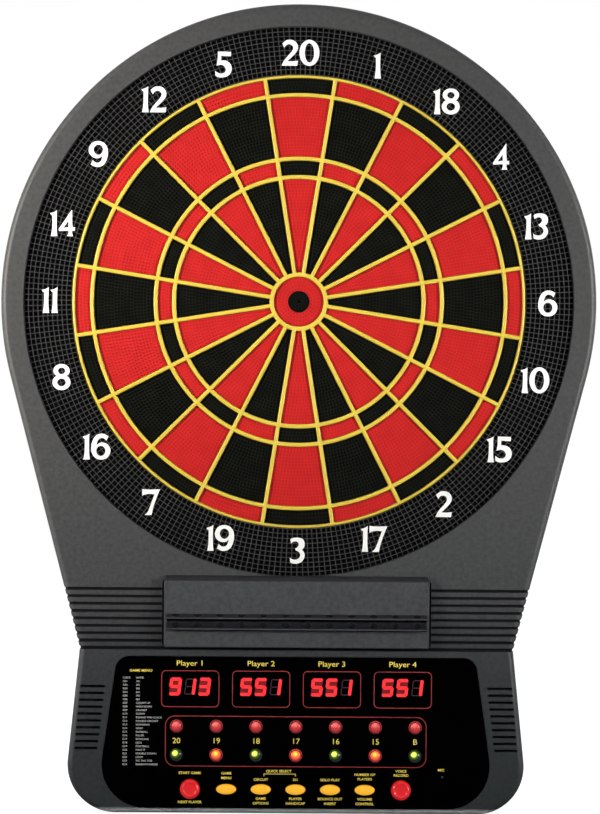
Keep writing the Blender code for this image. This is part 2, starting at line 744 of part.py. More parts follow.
def make_microphone():
    profile = [(0, 0.0470), (0.0042, 0.0470), (0.0045, 0.0465), (0.0045, 0.0400), (0, 0.0400)]
    return turned("microphone", profile, 10, BLACK_PLASTIC, place=(*MICROPHONE, 0))


def make_dc_jack():
    """A barrel socket with its centre pin, opening downwards through the bottom wall."""
    profile = [(0, -0.0010), (0.0010, -0.0010), (0.0010, -0.0080), (0.0032, -0.0080), (0.0032, 0)]
    profile += [(0.0045, 0), (0.0045, -0.0040), (0.0062, -0.0040), (0.0062, -0.0120), (0, -0.0120)]
    jack = turned("dc_jack", profile, 12, BLACK_PLASTIC)
    jack.location = (JACK_X, BOTTOM_Y + 0.0003, INLET_HEIGHT)
    jack.rotation_euler = (math.pi / 2, 0, 0)
    return jack


def make_power_switch():
    """A body behind the bottom wall, and the slider that stands through the wall's slot."""
    wall_inside = BOTTOM_Y + CASE_WALL
    low = (SWITCH_X - 0.0100, wall_inside + 0.0003, INLET_HEIGHT - 0.0040)
    high = (SWITCH_X + 0.0100, wall_inside + 0.0075, INLET_HEIGHT + 0.0040)
    body = box("power_switch_body", low, high, BLACK_PLASTIC)
    groove_low = (SWITCH_X - 0.0070, wall_inside - 0.01, INLET_HEIGHT - 0.0022)
    groove_high = (SWITCH_X + 0.0070, wall_inside + 0.0050, INLET_HEIGHT + 0.0022)
    cut(body, box("switch_groove", groove_low, groove_high, group=CUTTERS))
    knob_x = SWITCH_X - SWITCH_TRAVEL / 2
    knob_low = (knob_x - 0.0022, BOTTOM_Y - 0.0002, INLET_HEIGHT - 0.0016)
    knob_high = (knob_x + 0.0022, wall_inside + 0.0046, INLET_HEIGHT + 0.0016)
    return body, box("power_switch_slider", knob_low, knob_high, BLACK_PLASTIC)


make_front_housing()
make_back_cover()
make_cover_screws()
make_number_ring()
make_spider()
make_segments()
make_bulls()
make_target_backing()
make_dart_holder()
make_control_window()
make_displays()
make_led_bars()
make_buttons()
make_console_boards()
make_speaker()
make_microphone()
make_dc_jack()
make_power_switch()
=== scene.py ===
"""Looks of the electronic dartboard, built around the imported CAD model.

Pieces are modelled in the board's own frame: x to the player's right, y up, z out of the wall, in metres,
with the origin on the wall plane behind the bull. BOARD stands that frame up in the world.
"""

import math

import bmesh
import bpy
from mathutils import Matrix, Vector


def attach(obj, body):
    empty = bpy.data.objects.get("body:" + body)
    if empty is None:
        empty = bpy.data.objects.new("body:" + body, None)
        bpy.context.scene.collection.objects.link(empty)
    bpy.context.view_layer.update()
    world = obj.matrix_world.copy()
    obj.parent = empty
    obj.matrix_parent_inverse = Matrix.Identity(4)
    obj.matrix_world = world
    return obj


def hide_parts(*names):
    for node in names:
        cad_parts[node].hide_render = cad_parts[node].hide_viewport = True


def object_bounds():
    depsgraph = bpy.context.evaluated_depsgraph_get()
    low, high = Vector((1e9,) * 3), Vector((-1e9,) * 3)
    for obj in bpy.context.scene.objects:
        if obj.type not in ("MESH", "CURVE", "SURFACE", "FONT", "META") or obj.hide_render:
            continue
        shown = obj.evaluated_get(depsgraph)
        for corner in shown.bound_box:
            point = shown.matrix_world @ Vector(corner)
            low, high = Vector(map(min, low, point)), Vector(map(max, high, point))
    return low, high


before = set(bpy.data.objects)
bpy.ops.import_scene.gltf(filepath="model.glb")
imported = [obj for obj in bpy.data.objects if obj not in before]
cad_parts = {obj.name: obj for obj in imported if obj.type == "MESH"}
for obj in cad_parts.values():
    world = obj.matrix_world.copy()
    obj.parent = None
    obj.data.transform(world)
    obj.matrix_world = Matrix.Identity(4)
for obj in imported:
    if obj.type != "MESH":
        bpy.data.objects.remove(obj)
CAD_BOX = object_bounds()

BOARD = Matrix.Rotation(math.pi / 2, 4, "X")
SCENE = bpy.context.scene

# Dimensions of the CAD part
HEAD_RADIUS = 0.260
SHOULDER_LEAN = math.radians(14.7)
WAIST_Y = -0.3033
BOTTOM_Y = -0.4470
BOTTOM_HALF_WIDTH = 0.2038
BOTTOM_CORNER_RADIUS = 0.042
CASE_DEPTH = 0.050
CASE_WALL = 0.0035
RIM_RADIUS = 0.0054
COVER_THICKNESS = 0.003

WEDGES = 20
WEDGE_ANGLE = 2 * math.pi / WEDGES
NUMBERS = (20, 1, 18, 4, 13, 6, 10, 15, 2, 17, 3, 19, 7, 16, 8, 11, 14, 9, 12, 5)
TARGET_RADIUS = 0.1977
SPOKE_WIDTH = 0.0035
INNER_SINGLE = (0.0256, 0.1071)
TRIPLE = (0.1107, 0.1232)
OUTER_SINGLE = (0.1268, 0.1788)
DOUBLE = (0.1822, 0.1953)
BULL_RADIUS = 0.0213
INNER_BULL_RADIUS = 0.0092
SEGMENT_GAP = 0.0004
SPIDER_HEIGHTS = (0.0375, 0.0490)
PAD_TOP = 0.0465
CARRIER_HEIGHTS = (0.0348, 0.0372)

OPENING_RADIUS = 0.2401
RING_OUTER_RADIUS = 0.2397
RING_INNER_RADIUS = 0.1981
RING_FRONT = 0.0475

RIB_COUNT = 9
RIB_PITCH = 0.00643
RIB_TOP_Y = -0.2514
RIB_INNER_X = 0.1175

HOLDER_HALF_WIDTH = 0.1157
HOLDER_Y = (-0.3019, -0.2392)
HOLDER_BASE = 0.0503
HOLDER_FRONT = 0.060
LEDGE_HALF_LENGTH = 0.1130
LEDGE_CENTRES = (-0.2743, -0.2836)
LEDGE_THICKNESS = 0.0042
LEDGE_REACH = 0.0685
DART_HOLES = 12
DART_HOLE_PITCH = 0.01905
DART_HOLE_RADIUS = 0.0033
DART_HOLE_HEIGHT = 0.0640

WINDOW_TOP_Y = -0.3104
WINDOW_BOTTOM_Y = -0.4423
WINDOW_HALF_WIDTHS = (0.1560, 0.1746)
WINDOW_CORNERS = (0.012, 0.038)
WINDOW_HEIGHTS = (0.0481, 0.0500)
DISPLAY_PITCH = 0.0618
DISPLAY_Y = -0.3381
LED_COLUMNS = 7
LED_PITCH = 0.0347
LED_ROWS = (-0.3710, -0.3959)
LED_RADIUS = 0.0054
BUTTON_Y = -0.4257
ROUND_BUTTON_X = 0.092
OVAL_BUTTON_PITCH = 0.0302
ROUND_BUTTON_RADIUS = 0.0087
OVAL_BUTTON_SIZE = (0.0175, 0.0089)
MICROPHONE = (0.128, -0.4140)

VENTS_PER_SIDE = 10
VENT_PITCH = 0.0060
VENT_TOP_Y = -0.3366
VENT_HEIGHT = 0.0017
VENT_X_TOP = (0.1668, 0.1885)
VENT_X_BOTTOM = (0.1731, 0.1930)

BOSS_PLACES = ((0.160, 0.1903), (0.2300, -0.0940), (0.1795, -0.4220))
KEYHOLES = ((0.0, 0.205), (-0.120, -0.290), (0.120, -0.290))
INLET_HEIGHT = 0.020
JACK_X = 0.120
SWITCH_X = 0.088
SWITCH_TRAVEL = 0.0036


# Materials


def node(tree, kind, inputs, operation=None):
    """A shader node. Each input, by name or number, is linked to another node's output or set to a value."""
    made = tree.nodes.new("ShaderNode" + kind)
    if operation:
        made.operation = operation
    for name, value in inputs.items():
        if isinstance(value, bpy.types.NodeSocket):
            tree.links.new(value, made.inputs[name])
        else:
            made.inputs[name].default_value = value
    return made


def new_material(name):
    made = bpy.data.materials.new(name)
    made.use_nodes = True
    return made, made.node_tree, made.node_tree.nodes["Principled BSDF"]


def own_place(tree):
    """The place in the piece's own coordinates."""
    return node(tree, "TexCoord", {}).outputs["Object"]


def noise(tree, scale, detail=2.0, roughness=0.5):
    inputs = {"Vector": own_place(tree), "Scale": scale, "Detail": detail, "Roughness": roughness}
    return node(tree, "TexNoise", inputs).outputs["Fac"]


def ramp(tree, value, stops):
    """Colours at places from 0 to 1 along a value."""
    made = node(tree, "ValToRGB", {"Fac": value})
    elements = made.color_ramp.elements
    while len(elements) < len(stops):
        elements.new(0.5)
    for element, (place, colour) in zip(elements, stops):
        element.position = place
        element.color = (*colour, 1.0)
    return made.outputs["Color"]


def spread(tree, value, low, high, start=0.3, end=0.7):
    """The value's run from start to end, stretched to run from low to high."""
    inputs = {"Value": value, "From Min": start, "From Max": end, "To Min": low, "To Max": high}
    return node(tree, "MapRange", inputs).outputs["Result"]


def finish_of(name, colour, roughness, vary, patch, grain, depth):
    """A moulded surface: its colour and roughness drift over patches, and a fine grain stands in relief."""
    made, tree, shader = new_material(name)
    drift = noise(tree, patch, 4.0, 0.6)
    dark = tuple(c * (1 - vary) for c in colour)
    light = tuple(min(1.0, c * (1 + vary)) for c in colour)
    tree.links.new(ramp(tree, drift, [(0.3, dark), (0.7, light)]), shader.inputs["Base Color"])
    rough = spread(tree, drift, roughness * 0.9, min(1.0, roughness * 1.1))
    tree.links.new(rough, shader.inputs["Roughness"])
    if depth:
        relief = node(tree, "Bump", {"Height": noise(tree, grain), "Strength": 1.0, "Distance": depth})
        tree.links.new(relief.outputs["Normal"], shader.inputs["Normal"])
    return made


def colour_times(made, share, operation, socket):
    """Multiplies a finish's colour by a share."""
    tree = made.node_tree
    colour = tree.nodes["Principled BSDF"].inputs["Base Color"]
    scaled = node(tree, "VectorMath", {0: colour.links[0].from_socket, socket: share}, operation)
    tree.links.new(scaled.outputs["Vector"], colour)


def tint_by_height(made, low, high, stops):
    """Paints shade into a finish, as a colour multiplied by stops up the board. The stops' places run from
    the low y to the high one.
    """
    tree = made.node_tree
    height = node(tree, "SeparateXYZ", {"Vector": own_place(tree)}).outputs["Y"]
    painted_shade = ramp(tree, spread(tree, height, 0.0, 1.0, low, high), stops)
    colour_times(made, painted_shade, "MULTIPLY", 1)


def tone_down(made, darkest, start):
    """Paints shade near each hole: scales a colour down to the darkest share where the mesh's shade value
    falls to the start.
    """
    tone = node(made.node_tree, "Attribute", {})
    tone.attribute_name = "tone"
    share = spread(made.node_tree, tone.outputs["Fac"], darkest, 1.0, start, 1.0)
    colour_times(made, share, "SCALE", "Scale")


def glow_in(made, colour, strength):
    """Gives a surface a colour, and lets it glow in it."""
    shader = made.node_tree.nodes["Principled BSDF"]
    for socket in ("Base Color", "Emission Color"):
        made.node_tree.links.new(colour, shader.inputs[socket])
    shader.inputs["Emission Strength"].default_value = strength


def lens_of(name, stops, glow_highlight_centre, reach, strength):
    """A lamp lens whose colour glows from a bright core, off its middle, out to the rim. The glow is the
    lamp's own; the core's place off the middle is a painted highlight.
    """
    made, tree, shader = new_material(name)
    off = node(tree, "VectorMath", {0: own_place(tree), 1: glow_highlight_centre}, "DISTANCE")
    share = node(tree, "Math", {0: off.outputs["Value"], 1: reach}, "DIVIDE")
    glow_in(made, ramp(tree, share.outputs["Value"], stops), strength)
    tree.links.new(spread(tree, noise(tree, 400.0), 0.12, 0.2), shader.inputs["Roughness"])
    return made


def lit_of(name, colour, strength):
    """Glowing bars whose brightness drifts a little from place to place."""
    made, tree, shader = new_material(name)
    drift = noise(tree, 220.0)
    dim = tuple(c * 0.85 for c in colour)
    glow_in(made, ramp(tree, drift, [(0.35, dim), (0.65, colour)]), strength)
    tree.links.new(spread(tree, drift, 0.4, 0.5), shader.inputs["Roughness"])
    return made


PAD_RED = (0.640, 0.0158, 0.0150)
PAD_BLACK = (0.0108, 0.0120, 0.0088)
# Name, colour, roughness, how far both vary, the scales of the patches and of the grain, the grain's depth
FINISHES = {
    "housing": ("charcoal_plastic", (0.0480, 0.0482, 0.0478), 0.52, 0.30, 260.0, 1400.0, 0.00010),
    "holder": ("holder_plastic", (0.052, 0.055, 0.058), 0.5, 0.30, 260.0, 1400.0, 0.00010),
    # rail: the holder's plastic made darker, painted shade on the rails and the block's bevels
    "rail": ("rail_painted_shade", (0.018, 0.018, 0.023), 0.42, 0.20, 260.0, 1400.0, 0.00005),
    # groove: near black, painted shade in grooves, vents, recesses and holes
    "groove": ("groove_painted_shade", (0.005, 0.005, 0.007), 0.7, 0.2, 150.0, 1400.0, 0.00005),
    "cover": ("cover_plastic", (0.040, 0.041, 0.043), 0.6, 0.10, 40.0, 1400.0, 0.00009),
    "ring": ("ring_plastic", (0.080, 0.080, 0.080), 0.45, 0.12, 80.0, 1500.0, 0.00004),
    # ring_pocket_shade: near black, painted shade in the catch ring's pockets
    "ring_pocket_shade": ("ring_pocket_shade", (0.0025, 0.0025, 0.003), 0.8, 0.2, 80.0, 1500.0, 0.0),
    "red": ("red_pad", PAD_RED, 0.42, 0.07, 90.0, 1600.0, 0.00004),
    "red_pocket": ("red_pocket", PAD_RED, 0.6, 0.1, 90.0, 1600.0, 0.0),
    "black": ("black_pad", PAD_BLACK, 0.5, 0.25, 90.0, 1600.0, 0.00004),
    "black_pocket": ("black_pocket", PAD_BLACK, 0.7, 0.2, 90.0, 1600.0, 0.0),
    "yellow": ("yellow_web", (0.70, 0.52, 0.060), 0.38, 0.05, 70.0, 1500.0, 0.00003),
    "window": ("gloss_black_panel", (0.0005, 0.0004, 0.0005), 0.10, 0.3, 30.0, 300.0, 0.0),
    "display": ("display_filter", (0.006, 0.001, 0.001), 0.2, 0.3, 200.0, 900.0, 0.0),
    "white": ("white_print", (0.93, 0.92, 0.90), 0.5, 0.03, 200.0, 1500.0, 0.00002),
    "yellow_print": ("yellow_print", (1.0, 0.78, 0.12), 0.5, 0.06, 300.0, 1500.0, 0.0),
    "pale_print": ("pale_print", (0.85, 0.84, 0.80), 0.5, 0.08, 300.0, 1500.0, 0.0),
    "red_print": ("red_print", (0.48, 0.050, 0.060), 0.5, 0.08, 300.0, 1500.0, 0.0),
    "button_red": ("red_button", (0.90, 0.018, 0.022), 0.20, 0.05, 120.0, 900.0, 0.0),
    "amber": ("amber_button", (0.98, 0.47, 0.030), 0.22, 0.05, 120.0, 900.0, 0.0),
    "black_plastic": ("black_plastic", (0.012, 0.012, 0.012), 0.5, 0.2, 80.0, 1400.0, 0.00005),
    "knob": ("switch_knob", (0.016, 0.016, 0.017), 0.6, 0.2, 300.0, 1800.0, 0.00005),
    "rubber": ("dark_rubber", (0.02, 0.02, 0.02), 0.85, 0.2, 60.0, 900.0, 0.00010),
    "film": ("membrane_film", (0.52, 0.56, 0.53), 0.3, 0.06, 40.0, 600.0, 0.00002),
    "hardboard": ("hardboard", (0.22, 0.12, 0.06), 0.8, 0.25, 120.0, 700.0, 0.00012),
    "circuit": ("circuit_board", (0.02, 0.14, 0.05), 0.35, 0.2, 150.0, 900.0, 0.00004),
    "can": ("aluminium_can", (0.60, 0.60, 0.61), 0.35, 0.05, 200.0, 1600.0, 0.00003),
    "steel": ("zinc_steel", (0.55, 0.55, 0.56), 0.32, 0.08, 300.0, 1800.0, 0.00003),
}
SOCKETS = {
    "Specular IOR Level": {"groove": 0.15, "ring_pocket_shade": 0.1, "red": 0.3, "red_pocket": 0.2, "black": 0.04}
    | {"black_pocket": 0.0, "window": 0.015, "display": 0.2},
    "Metallic": {"can": 1.0, "steel": 1.0},
    "Coat Weight": {"button_red": 0.8, "amber": 0.6},
    "Coat Roughness": {"button_red": 0.14, "amber": 0.14},
}
# Painted light: the yellow print and the button caps are no lamps, yet glow to look brighter
PAINTED_GLOWS = {"yellow_print": 0.22, "button_red": 0.28, "amber": 0.60}
# Painted shade near the pads' holes: the darkest share, and the value where it is reached
HOLE_SHADES = {"red": (0.60, 0.0), "red_pocket": (0.60, 0.0), "black": (0.0, 0.38), "black_pocket": (0.0, 0.38)}
# Painted shade: the housing's colour darkens and turns bluish towards the bottom of the board, where less
# light falls
HOUSING_PAINTED_SHADE = [(0.0, (0.63, 0.71, 0.76)), (0.18, (0.95, 0.99, 1.02)), (0.65, (1.0, 1.0, 1.0))]
RED_LENS = [
    (0.0, (0.98, 0.24, 0.20)),
    (0.14, (0.90, 0.16, 0.13)),
    (0.36, (0.60, 0.045, 0.050)),
    (0.75, (0.42, 0.022, 0.035)),
    (1.0, (0.15, 0.020, 0.035)),
]
ORANGE_LENS = [
    (0.0, (1.0, 0.80, 0.10)),
    (0.16, (1.0, 0.62, 0.06)),
    (0.34, (0.95, 0.20, 0.03)),
    (0.70, (0.50, 0.040, 0.040)),
    (1.0, (0.30, 0.012, 0.030)),
]
GREEN_LENS = [
    (0.0, (0.92, 0.90, 0.16)),
    (0.26, (0.70, 0.82, 0.10)),
    (0.40, (0.06, 0.10, 0.010)),
    (0.66, (0.006, 0.020, 0.008)),
    (1.0, (0.010, 0.014, 0.014)),
]


def make_materials():
    made = {key: finish_of(*values) for key, values in FINISHES.items()}
    shaders = {key: finish.node_tree.nodes["Principled BSDF"] for key, finish in made.items()}
    for socket, levels in SOCKETS.items():
        for key, level in levels.items():
            shaders[key].inputs[socket].default_value = level
    # Painted glow on print and caps that hold no lamp
    for key, strength in PAINTED_GLOWS.items():
        glow_in(made[key], shaders[key].inputs["Base Color"].links[0].from_socket, strength)
    for key, (darkest, start) in HOLE_SHADES.items():
        tone_down(made[key], darkest, start)
    # Painted shade, darker and bluer low on the housing
    tint_by_height(made["housing"], -0.325, 0.100, HOUSING_PAINTED_SHADE)
    made["lit"] = lit_of("lit_bar", (1.0, 0.032, 0.040), 0.68)
    made["halo"] = lit_of("bar_glow", (0.16, 0.004, 0.006), 0.6)
    made["unlit"] = lit_of("unlit_bar", (0.055, 0.018, 0.028), 0.3)
    # The cores sit up and to the left of the lenses' middles: the lamps' own glow, placed as a painted
    # highlight
    made["lens_red"] = lens_of("red_lens", RED_LENS, (-0.0006, 0.0024, 0.0532), 0.0090, 0.42)
    made["lens_orange"] = lens_of("orange_lens", ORANGE_LENS, (-0.0003, 0.0015, 0.0537), 0.0068, 0.80)
    made["lens_green"] = lens_of("green_lens", GREEN_LENS, (-0.0011, 0.0017, 0.0533), 0.0074, 0.80)
    return made


MATERIALS = make_materials()


# Outlines in the x, y plane, clockwise


def polar(radius, angle):
    """The point at this distance, with the angle measured clockwise from straight up."""
    return Vector((radius * math.sin(angle), radius * math.cos(angle)))


def turned_by(vector, angle):
    cosine, sine = math.cos(angle), math.sin(angle)
    return Vector((vector.x * cosine - vector.y * sine, vector.x * sine + vector.y * cosine))


def fillet(before, corner, after, radius, steps=6):
    """Points of the arc that rounds a corner between two straight edges."""
    back = (before - corner).normalized()
    ahead = (after - corner).normalized()
    half_angle = back.angle(ahead) / 2
    centre = corner + (back + ahead).normalized() * radius / math.sin(half_angle)
    start = corner + back * radius / math.tan(half_angle) - centre
    end = corner + ahead * radius / math.tan(half_angle) - centre
    turn = start.angle_signed(end)
    return [centre + turned_by(start, -turn * step / steps) for step in range(steps + 1)]


def mirrored(right_side):
    return right_side + [Vector((-p.x, p.y)) for p in reversed(right_side) if p.x > 1e-6]


def inset(points, distance):
    """An outline moved inwards by a distance, with its corners kept."""
    moved = []
    for before, here, after in zip(points[-1:] + points[:-1], points, points[1:] + points[:1]):
        first = (here - before).normalized()
        second = (after - here).normalized()
        normal = (Vector((first.y, -first.x)) + Vector((second.y, -second.x))).normalized()
        moved.append(here + normal * distance / normal.dot(Vector((first.y, -first.x))))
    return moved


def circle(radius, centre=(0.0, 0.0), steps=32):
    return [polar(radius, 2 * math.pi * step / steps) + Vector(centre) for step in range(steps)]


def ellipse(width, height, centre=(0.0, 0.0), steps=32):
    half = Vector((width / 2, height / 2))
    return [polar(1.0, 2 * math.pi * step / steps) * half + Vector(centre) for step in range(steps)]


def round_box(left, right, low, high, radius, steps=5, low_radius=None):
    """A rectangle with rounded corners."""
    low_radius = radius if low_radius is None else low_radius
    corners = [Vector(p) for p in ((left, high), (right, high), (right, low), (left, low))]
    points = []
    for index, corner in enumerate(corners):
        size = radius if index < 2 else low_radius
        points += fillet(corners[index - 1], corner, corners[(index + 1) % 4], size, steps)
    return points


def slot_outline(left, right, middle, height, steps=6):
    return round_box(left, right, middle - height / 2, middle + height / 2, height / 2 - 1e-5, steps)


def waist_point():
    tangent = HEAD_RADIUS * Vector((math.cos(SHOULDER_LEAN), -math.sin(SHOULDER_LEAN)))
    drop = tangent.y - WAIST_Y
    return Vector((tangent.x - drop * math.tan(SHOULDER_LEAN), WAIST_Y))


def half_width_at(y):
    """Half the width of the leaning shoulder, or of the console's flaring side below the waist."""
    waist = waist_point()
    if y >= WAIST_Y:
        return waist.x + (y - WAIST_Y) * math.tan(SHOULDER_LEAN)
    share = (WAIST_Y - y) / (WAIST_Y - BOTTOM_Y)
    return waist.x + share * (BOTTOM_HALF_WIDTH - waist.x)


def cabinet_outline(step=math.radians(1.5)):
    end_angle = math.pi / 2 + SHOULDER_LEAN
    steps = round(end_angle / step)
    head = [polar(HEAD_RADIUS, end_angle * index / steps) for index in range(steps + 1)]
    waist = waist_point()
    corner = Vector((BOTTOM_HALF_WIDTH, BOTTOM_Y))
    return mirrored(head + [waist] + fillet(waist, corner, Vector((0, BOTTOM_Y)), BOTTOM_CORNER_RADIUS, 24))


def window_outline():
    top = Vector((WINDOW_HALF_WIDTHS[0], WINDOW_TOP_Y))
    bottom = Vector((WINDOW_HALF_WIDTHS[1], WINDOW_BOTTOM_Y))
    upper = fillet(Vector((0, WINDOW_TOP_Y)), top, bottom, WINDOW_CORNERS[0], 12)
    lower = fillet(top, bottom, Vector((0, WINDOW_BOTTOM_Y)), WINDOW_CORNERS[1], 20)
    return mirrored(upper + lower)


# Meshes


def placed(name, data):
    obj = bpy.data.objects.new(name, data)
    SCENE.collection.objects.link(obj)
    return obj


def link(name, mesh, *finishes):
    for finish in finishes:
        mesh.materials.append(MATERIALS[finish])
    return placed(name, mesh)


def evaluated(obj):
    """A new mesh of the object, with its curve or modifiers worked out."""
    bpy.context.view_layer.update()
    return bpy.data.meshes.new_from_object(obj.evaluated_get(bpy.context.evaluated_depsgraph_get()))


def mended(mesh, weld=True, face_out=True):
    """The mesh with its coinciding points made one, and its normals facing out."""
    work = bmesh.new()
    work.from_mesh(mesh)
    if weld:
        bmesh.ops.remove_doubles(work, verts=work.verts, dist=1e-7)
    if face_out:
        bmesh.ops.recalc_face_normals(work, faces=work.faces)
    work.to_mesh(mesh)
    work.free()
    return mesh


def mesh_of(name, points, faces, marks=None, tones=None):
    """A mesh. marks gives each face's material place, and the last argument each point's value for the
    painted shade near holes.
    """
    mesh = bpy.data.meshes.new(name)
    mesh.from_pydata([tuple(p) for p in points], [], faces)
    if marks:
        mesh.polygons.foreach_set("material_index", marks)
    if tones:
        mesh.attributes.new("tone", "FLOAT", "POINT").data.foreach_set("value", tones)
    return mended(mesh, weld=False)


def between(first, second):
    """The faces between two closed loops of equally many point numbers."""
    return list(zip(first, first[1:] + first[:1], second[1:] + second[:1], second))


def stack(name, loops, *finishes):
    """A closed solid through loops of equally many points, capped at both ends."""
    count = len(loops[0])
    rows = [list(range(level * count, (level + 1) * count)) for level in range(len(loops))]
    faces = [face for low, high in zip(rows, rows[1:]) for face in between(low, high)]
    faces += [tuple(rows[0]), tuple(rows[-1])]
    return link(name, mesh_of(name, [p for loop in loops for p in loop], faces), *finishes)


def layers(outline, profile):
    """The outline at each (inset, height) of a profile."""
    return [[(p.x, p.y, height) for p in inset(outline, distance)] for distance, height in profile]


def prism(name, outline, profile, *finishes):
    """A solid whose outline is drawn in by each inset at each height of a profile."""
    return stack(name, layers(outline, profile), *finishes)


def plate(name, outlines, heights, *finishes, rim=0.0, steps=3):
    """Flat outlines, the inner ones as holes, given a thickness. A rim rounds every edge."""
    curve = bpy.data.curves.new(name, "CURVE")
    curve.dimensions = "2D"
    curve.fill_mode = "BOTH"
    curve.extrude = (heights[1] - heights[0]) / 2 - rim
    curve.bevel_depth = rim
    curve.bevel_resolution = steps - 1
    curve.offset = -rim
    for points in outlines:
        spline = curve.splines.new("POLY")
        spline.points.add(len(points) - 1)
        spline.use_cyclic_u = True
        for knot, point in zip(spline.points, points):
            knot.co = (point[0], point[1], 0, 1)
    obj = placed(name, curve)
    mesh = evaluated(obj)
    bpy.data.objects.remove(obj, do_unlink=True)
    mesh.name = name
    mesh.transform(Matrix.Translation((0, 0, (heights[0] + heights[1]) / 2)))
    return link(name, mended(mesh), *finishes)


def lathe(name, profile, steps, *finishes):
    """A solid turned about z from (radius, height) points. It closes on the axis where a radius is 0."""
    points, rows = [], []
    for radius, height in profile:
        if radius == 0:
            rows.append([len(points)] * steps)
            points.append((0, 0, height))
        else:
            rows.append([len(points) + i for i in range(steps)])
            points += [(*polar(radius, 2 * math.pi * i / steps), height) for i in range(steps)]
    pairs = list(zip(rows, rows[1:]))
    if profile[0][0] > 0:
        pairs.append((rows[-1], rows[0]))
    faces = [list(dict.fromkeys(face)) for upper, lower in pairs for face in between(upper, lower)]
    return link(name, mesh_of(name, points, [face for face in faces if len(face) > 2]), *finishes)


def joined(name, objs):
    """Several objects' meshes as one object."""
    work = bmesh.new()
    for obj in objs:
        work.from_mesh(obj.data)
    mesh = objs[0].data
    work.to_mesh(mesh)
    work.free()
    for obj in objs[1:]:
        bpy.data.objects.remove(obj, do_unlink=True)
    objs[0].name = name
    mesh.name = name
    return objs[0]


def moved(obj, place=(0, 0, 0), angle=0.0, axis="X"):
    """The object with its mesh turned about an axis, then shifted."""
    obj.data.transform(Matrix.Translation(place) @ Matrix.Rotation(angle, 4, axis))
    return obj


def carve(obj, cutter, operation="DIFFERENCE"):
    """Cuts one object from another, or adds it, and removes it. New faces keep the cutter's finish."""
    for finish in cutter.data.materials:
        if finish and finish.name not in obj.data.materials:
            obj.data.materials.append(finish)
    modifier = obj.modifiers.new("carve", "BOOLEAN")
    modifier.operation = operation
    modifier.solver = "MANIFOLD"
    modifier.object = cutter
    mesh = evaluated(obj)
    mesh.name = obj.name
    obj.modifiers.clear()
    obj.data = mesh
    bpy.data.objects.remove(cutter, do_unlink=True)
    return obj


def smooth(obj, angle=32.0, weighted=True):
    obj.data.shade_smooth()
    obj.data.set_sharp_from_angle(angle=math.radians(angle))
    if weighted:
        obj.modifiers.new("normals", "WEIGHTED_NORMAL").keep_sharp = True
    return obj


def settle(obj, stands_for=(), body="cabinet", at=(0, 0, 0), turn=0.0):
    """Puts a piece in the world, on its body and the CAD nodes it stands for."""
    obj.matrix_world = BOARD @ Matrix.Translation(at) @ Matrix.Rotation(turn, 4, "Z")
    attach(obj, body)
    if stands_for:
        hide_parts(*stands_for)


# Cabinet

# The first and the last two grooves are the deep ones.
RIB_DEPTHS = (0.0026, 0.0017, 0.0018, 0.0019, 0.0020, 0.0021, 0.0022, 0.0028, 0.0030)
RIB_WIDTHS = (0.0023, 0.0022, 0.0022, 0.0022, 0.0022, 0.0022, 0.0022, 0.0024, 0.0027)
RIB_SIDE_DEPTH = 0.0008
RIB_LIP = 0.0003
THROUGH = ((0, -0.01), (0, 0.01))


def groove(index):
    """A cutter that follows the face, the rim and the side wall, where it is shallow, by its sections."""
    y = RIB_TOP_Y - index * RIB_PITCH
    half, depth, lip, rim = RIB_WIDTHS[index] / 2, RIB_DEPTHS[index], RIB_LIP, RIM_RADIUS
    floor = -1
    section = [(-half - lip, lip), (-half, -lip), (-half * 0.75, floor), (half * 0.75, floor)]
    section += [(half, -lip), (half + lip, lip)]
    stations = [(None, CASE_DEPTH, Vector((0, 1)))]
    for share in (0.0, 0.25, 0.5, 0.75, 1.0):
        normal = Vector((math.sin(share * math.pi / 2), math.cos(share * math.pi / 2)))
        stations.append((rim * (1 - normal.x), CASE_DEPTH - rim * (1 - normal.y), normal))
    stations.append((0.0, 0.012, Vector((1, 0))))

    def loop(side, station):
        back, height, normal = station
        points = []
        for dy, out in section:
            out = -depth - (RIB_SIDE_DEPTH - depth) * normal.x if out == floor else out
            x = RIB_INNER_X if back is None else half_width_at(y + dy) - back
            points.append((side * (x + normal.x * out), y + dy, height + normal.y * out))
        return points

    right = [loop(1, s) for s in stations]
    left = [loop(-1, s) for s in stations]
    # The grooves take the near-black finish: painted shade in them.
    if index == RIB_COUNT - 1:
        return [stack("groove", list(reversed(left[1:])) + right[1:], "groove")]
    return [stack("groove", right, "groove"), stack("groove", left, "groove")]


def vent_cutters():
    """Slots with a floor, and shorter ones through it, which end where the back cover's edge would show."""
    shallow, deep = [], []
    lip = ((0.0, 0.0471), (0.0, 0.0495), (-0.0003, 0.0501), (-0.0003, 0.0520))
    for slot in range(VENTS_PER_SIDE):
        share = slot / (VENTS_PER_SIDE - 1)
        y = VENT_TOP_Y - slot * VENT_PITCH
        inner = VENT_X_TOP[0] + share * (VENT_X_BOTTOM[0] - VENT_X_TOP[0])
        outer = VENT_X_TOP[1] + share * (VENT_X_BOTTOM[1] - VENT_X_TOP[1])
        for side in (1, -1):
            ends = sorted((side * inner, side * outer))
            # Both kinds of slot take the near-black finish: painted shade in the vents.
            shallow.append(prism("vent", slot_outline(*ends, y, VENT_HEIGHT), lip, "groove"))
            ends = sorted((side * (inner + 0.0002), side * (outer - 0.0055)))
            outline = slot_outline(*ends, y, VENT_HEIGHT - 0.0003)
            deep.append(prism("vent", outline, ((0.0, 0.0430), (0.0, 0.0480)), "groove"))
    return joined("vents", shallow), joined("through_vents", deep)


def boss_places():
    return [Vector((side * x, y)) for x, y in BOSS_PLACES for side in (1, -1)]


def at_bosses(name, radius, steps, profile):
    """The same round solid at all six screw bosses."""
    return joined(name, [prism(name, circle(radius, p, steps), profile) for p in boss_places()])


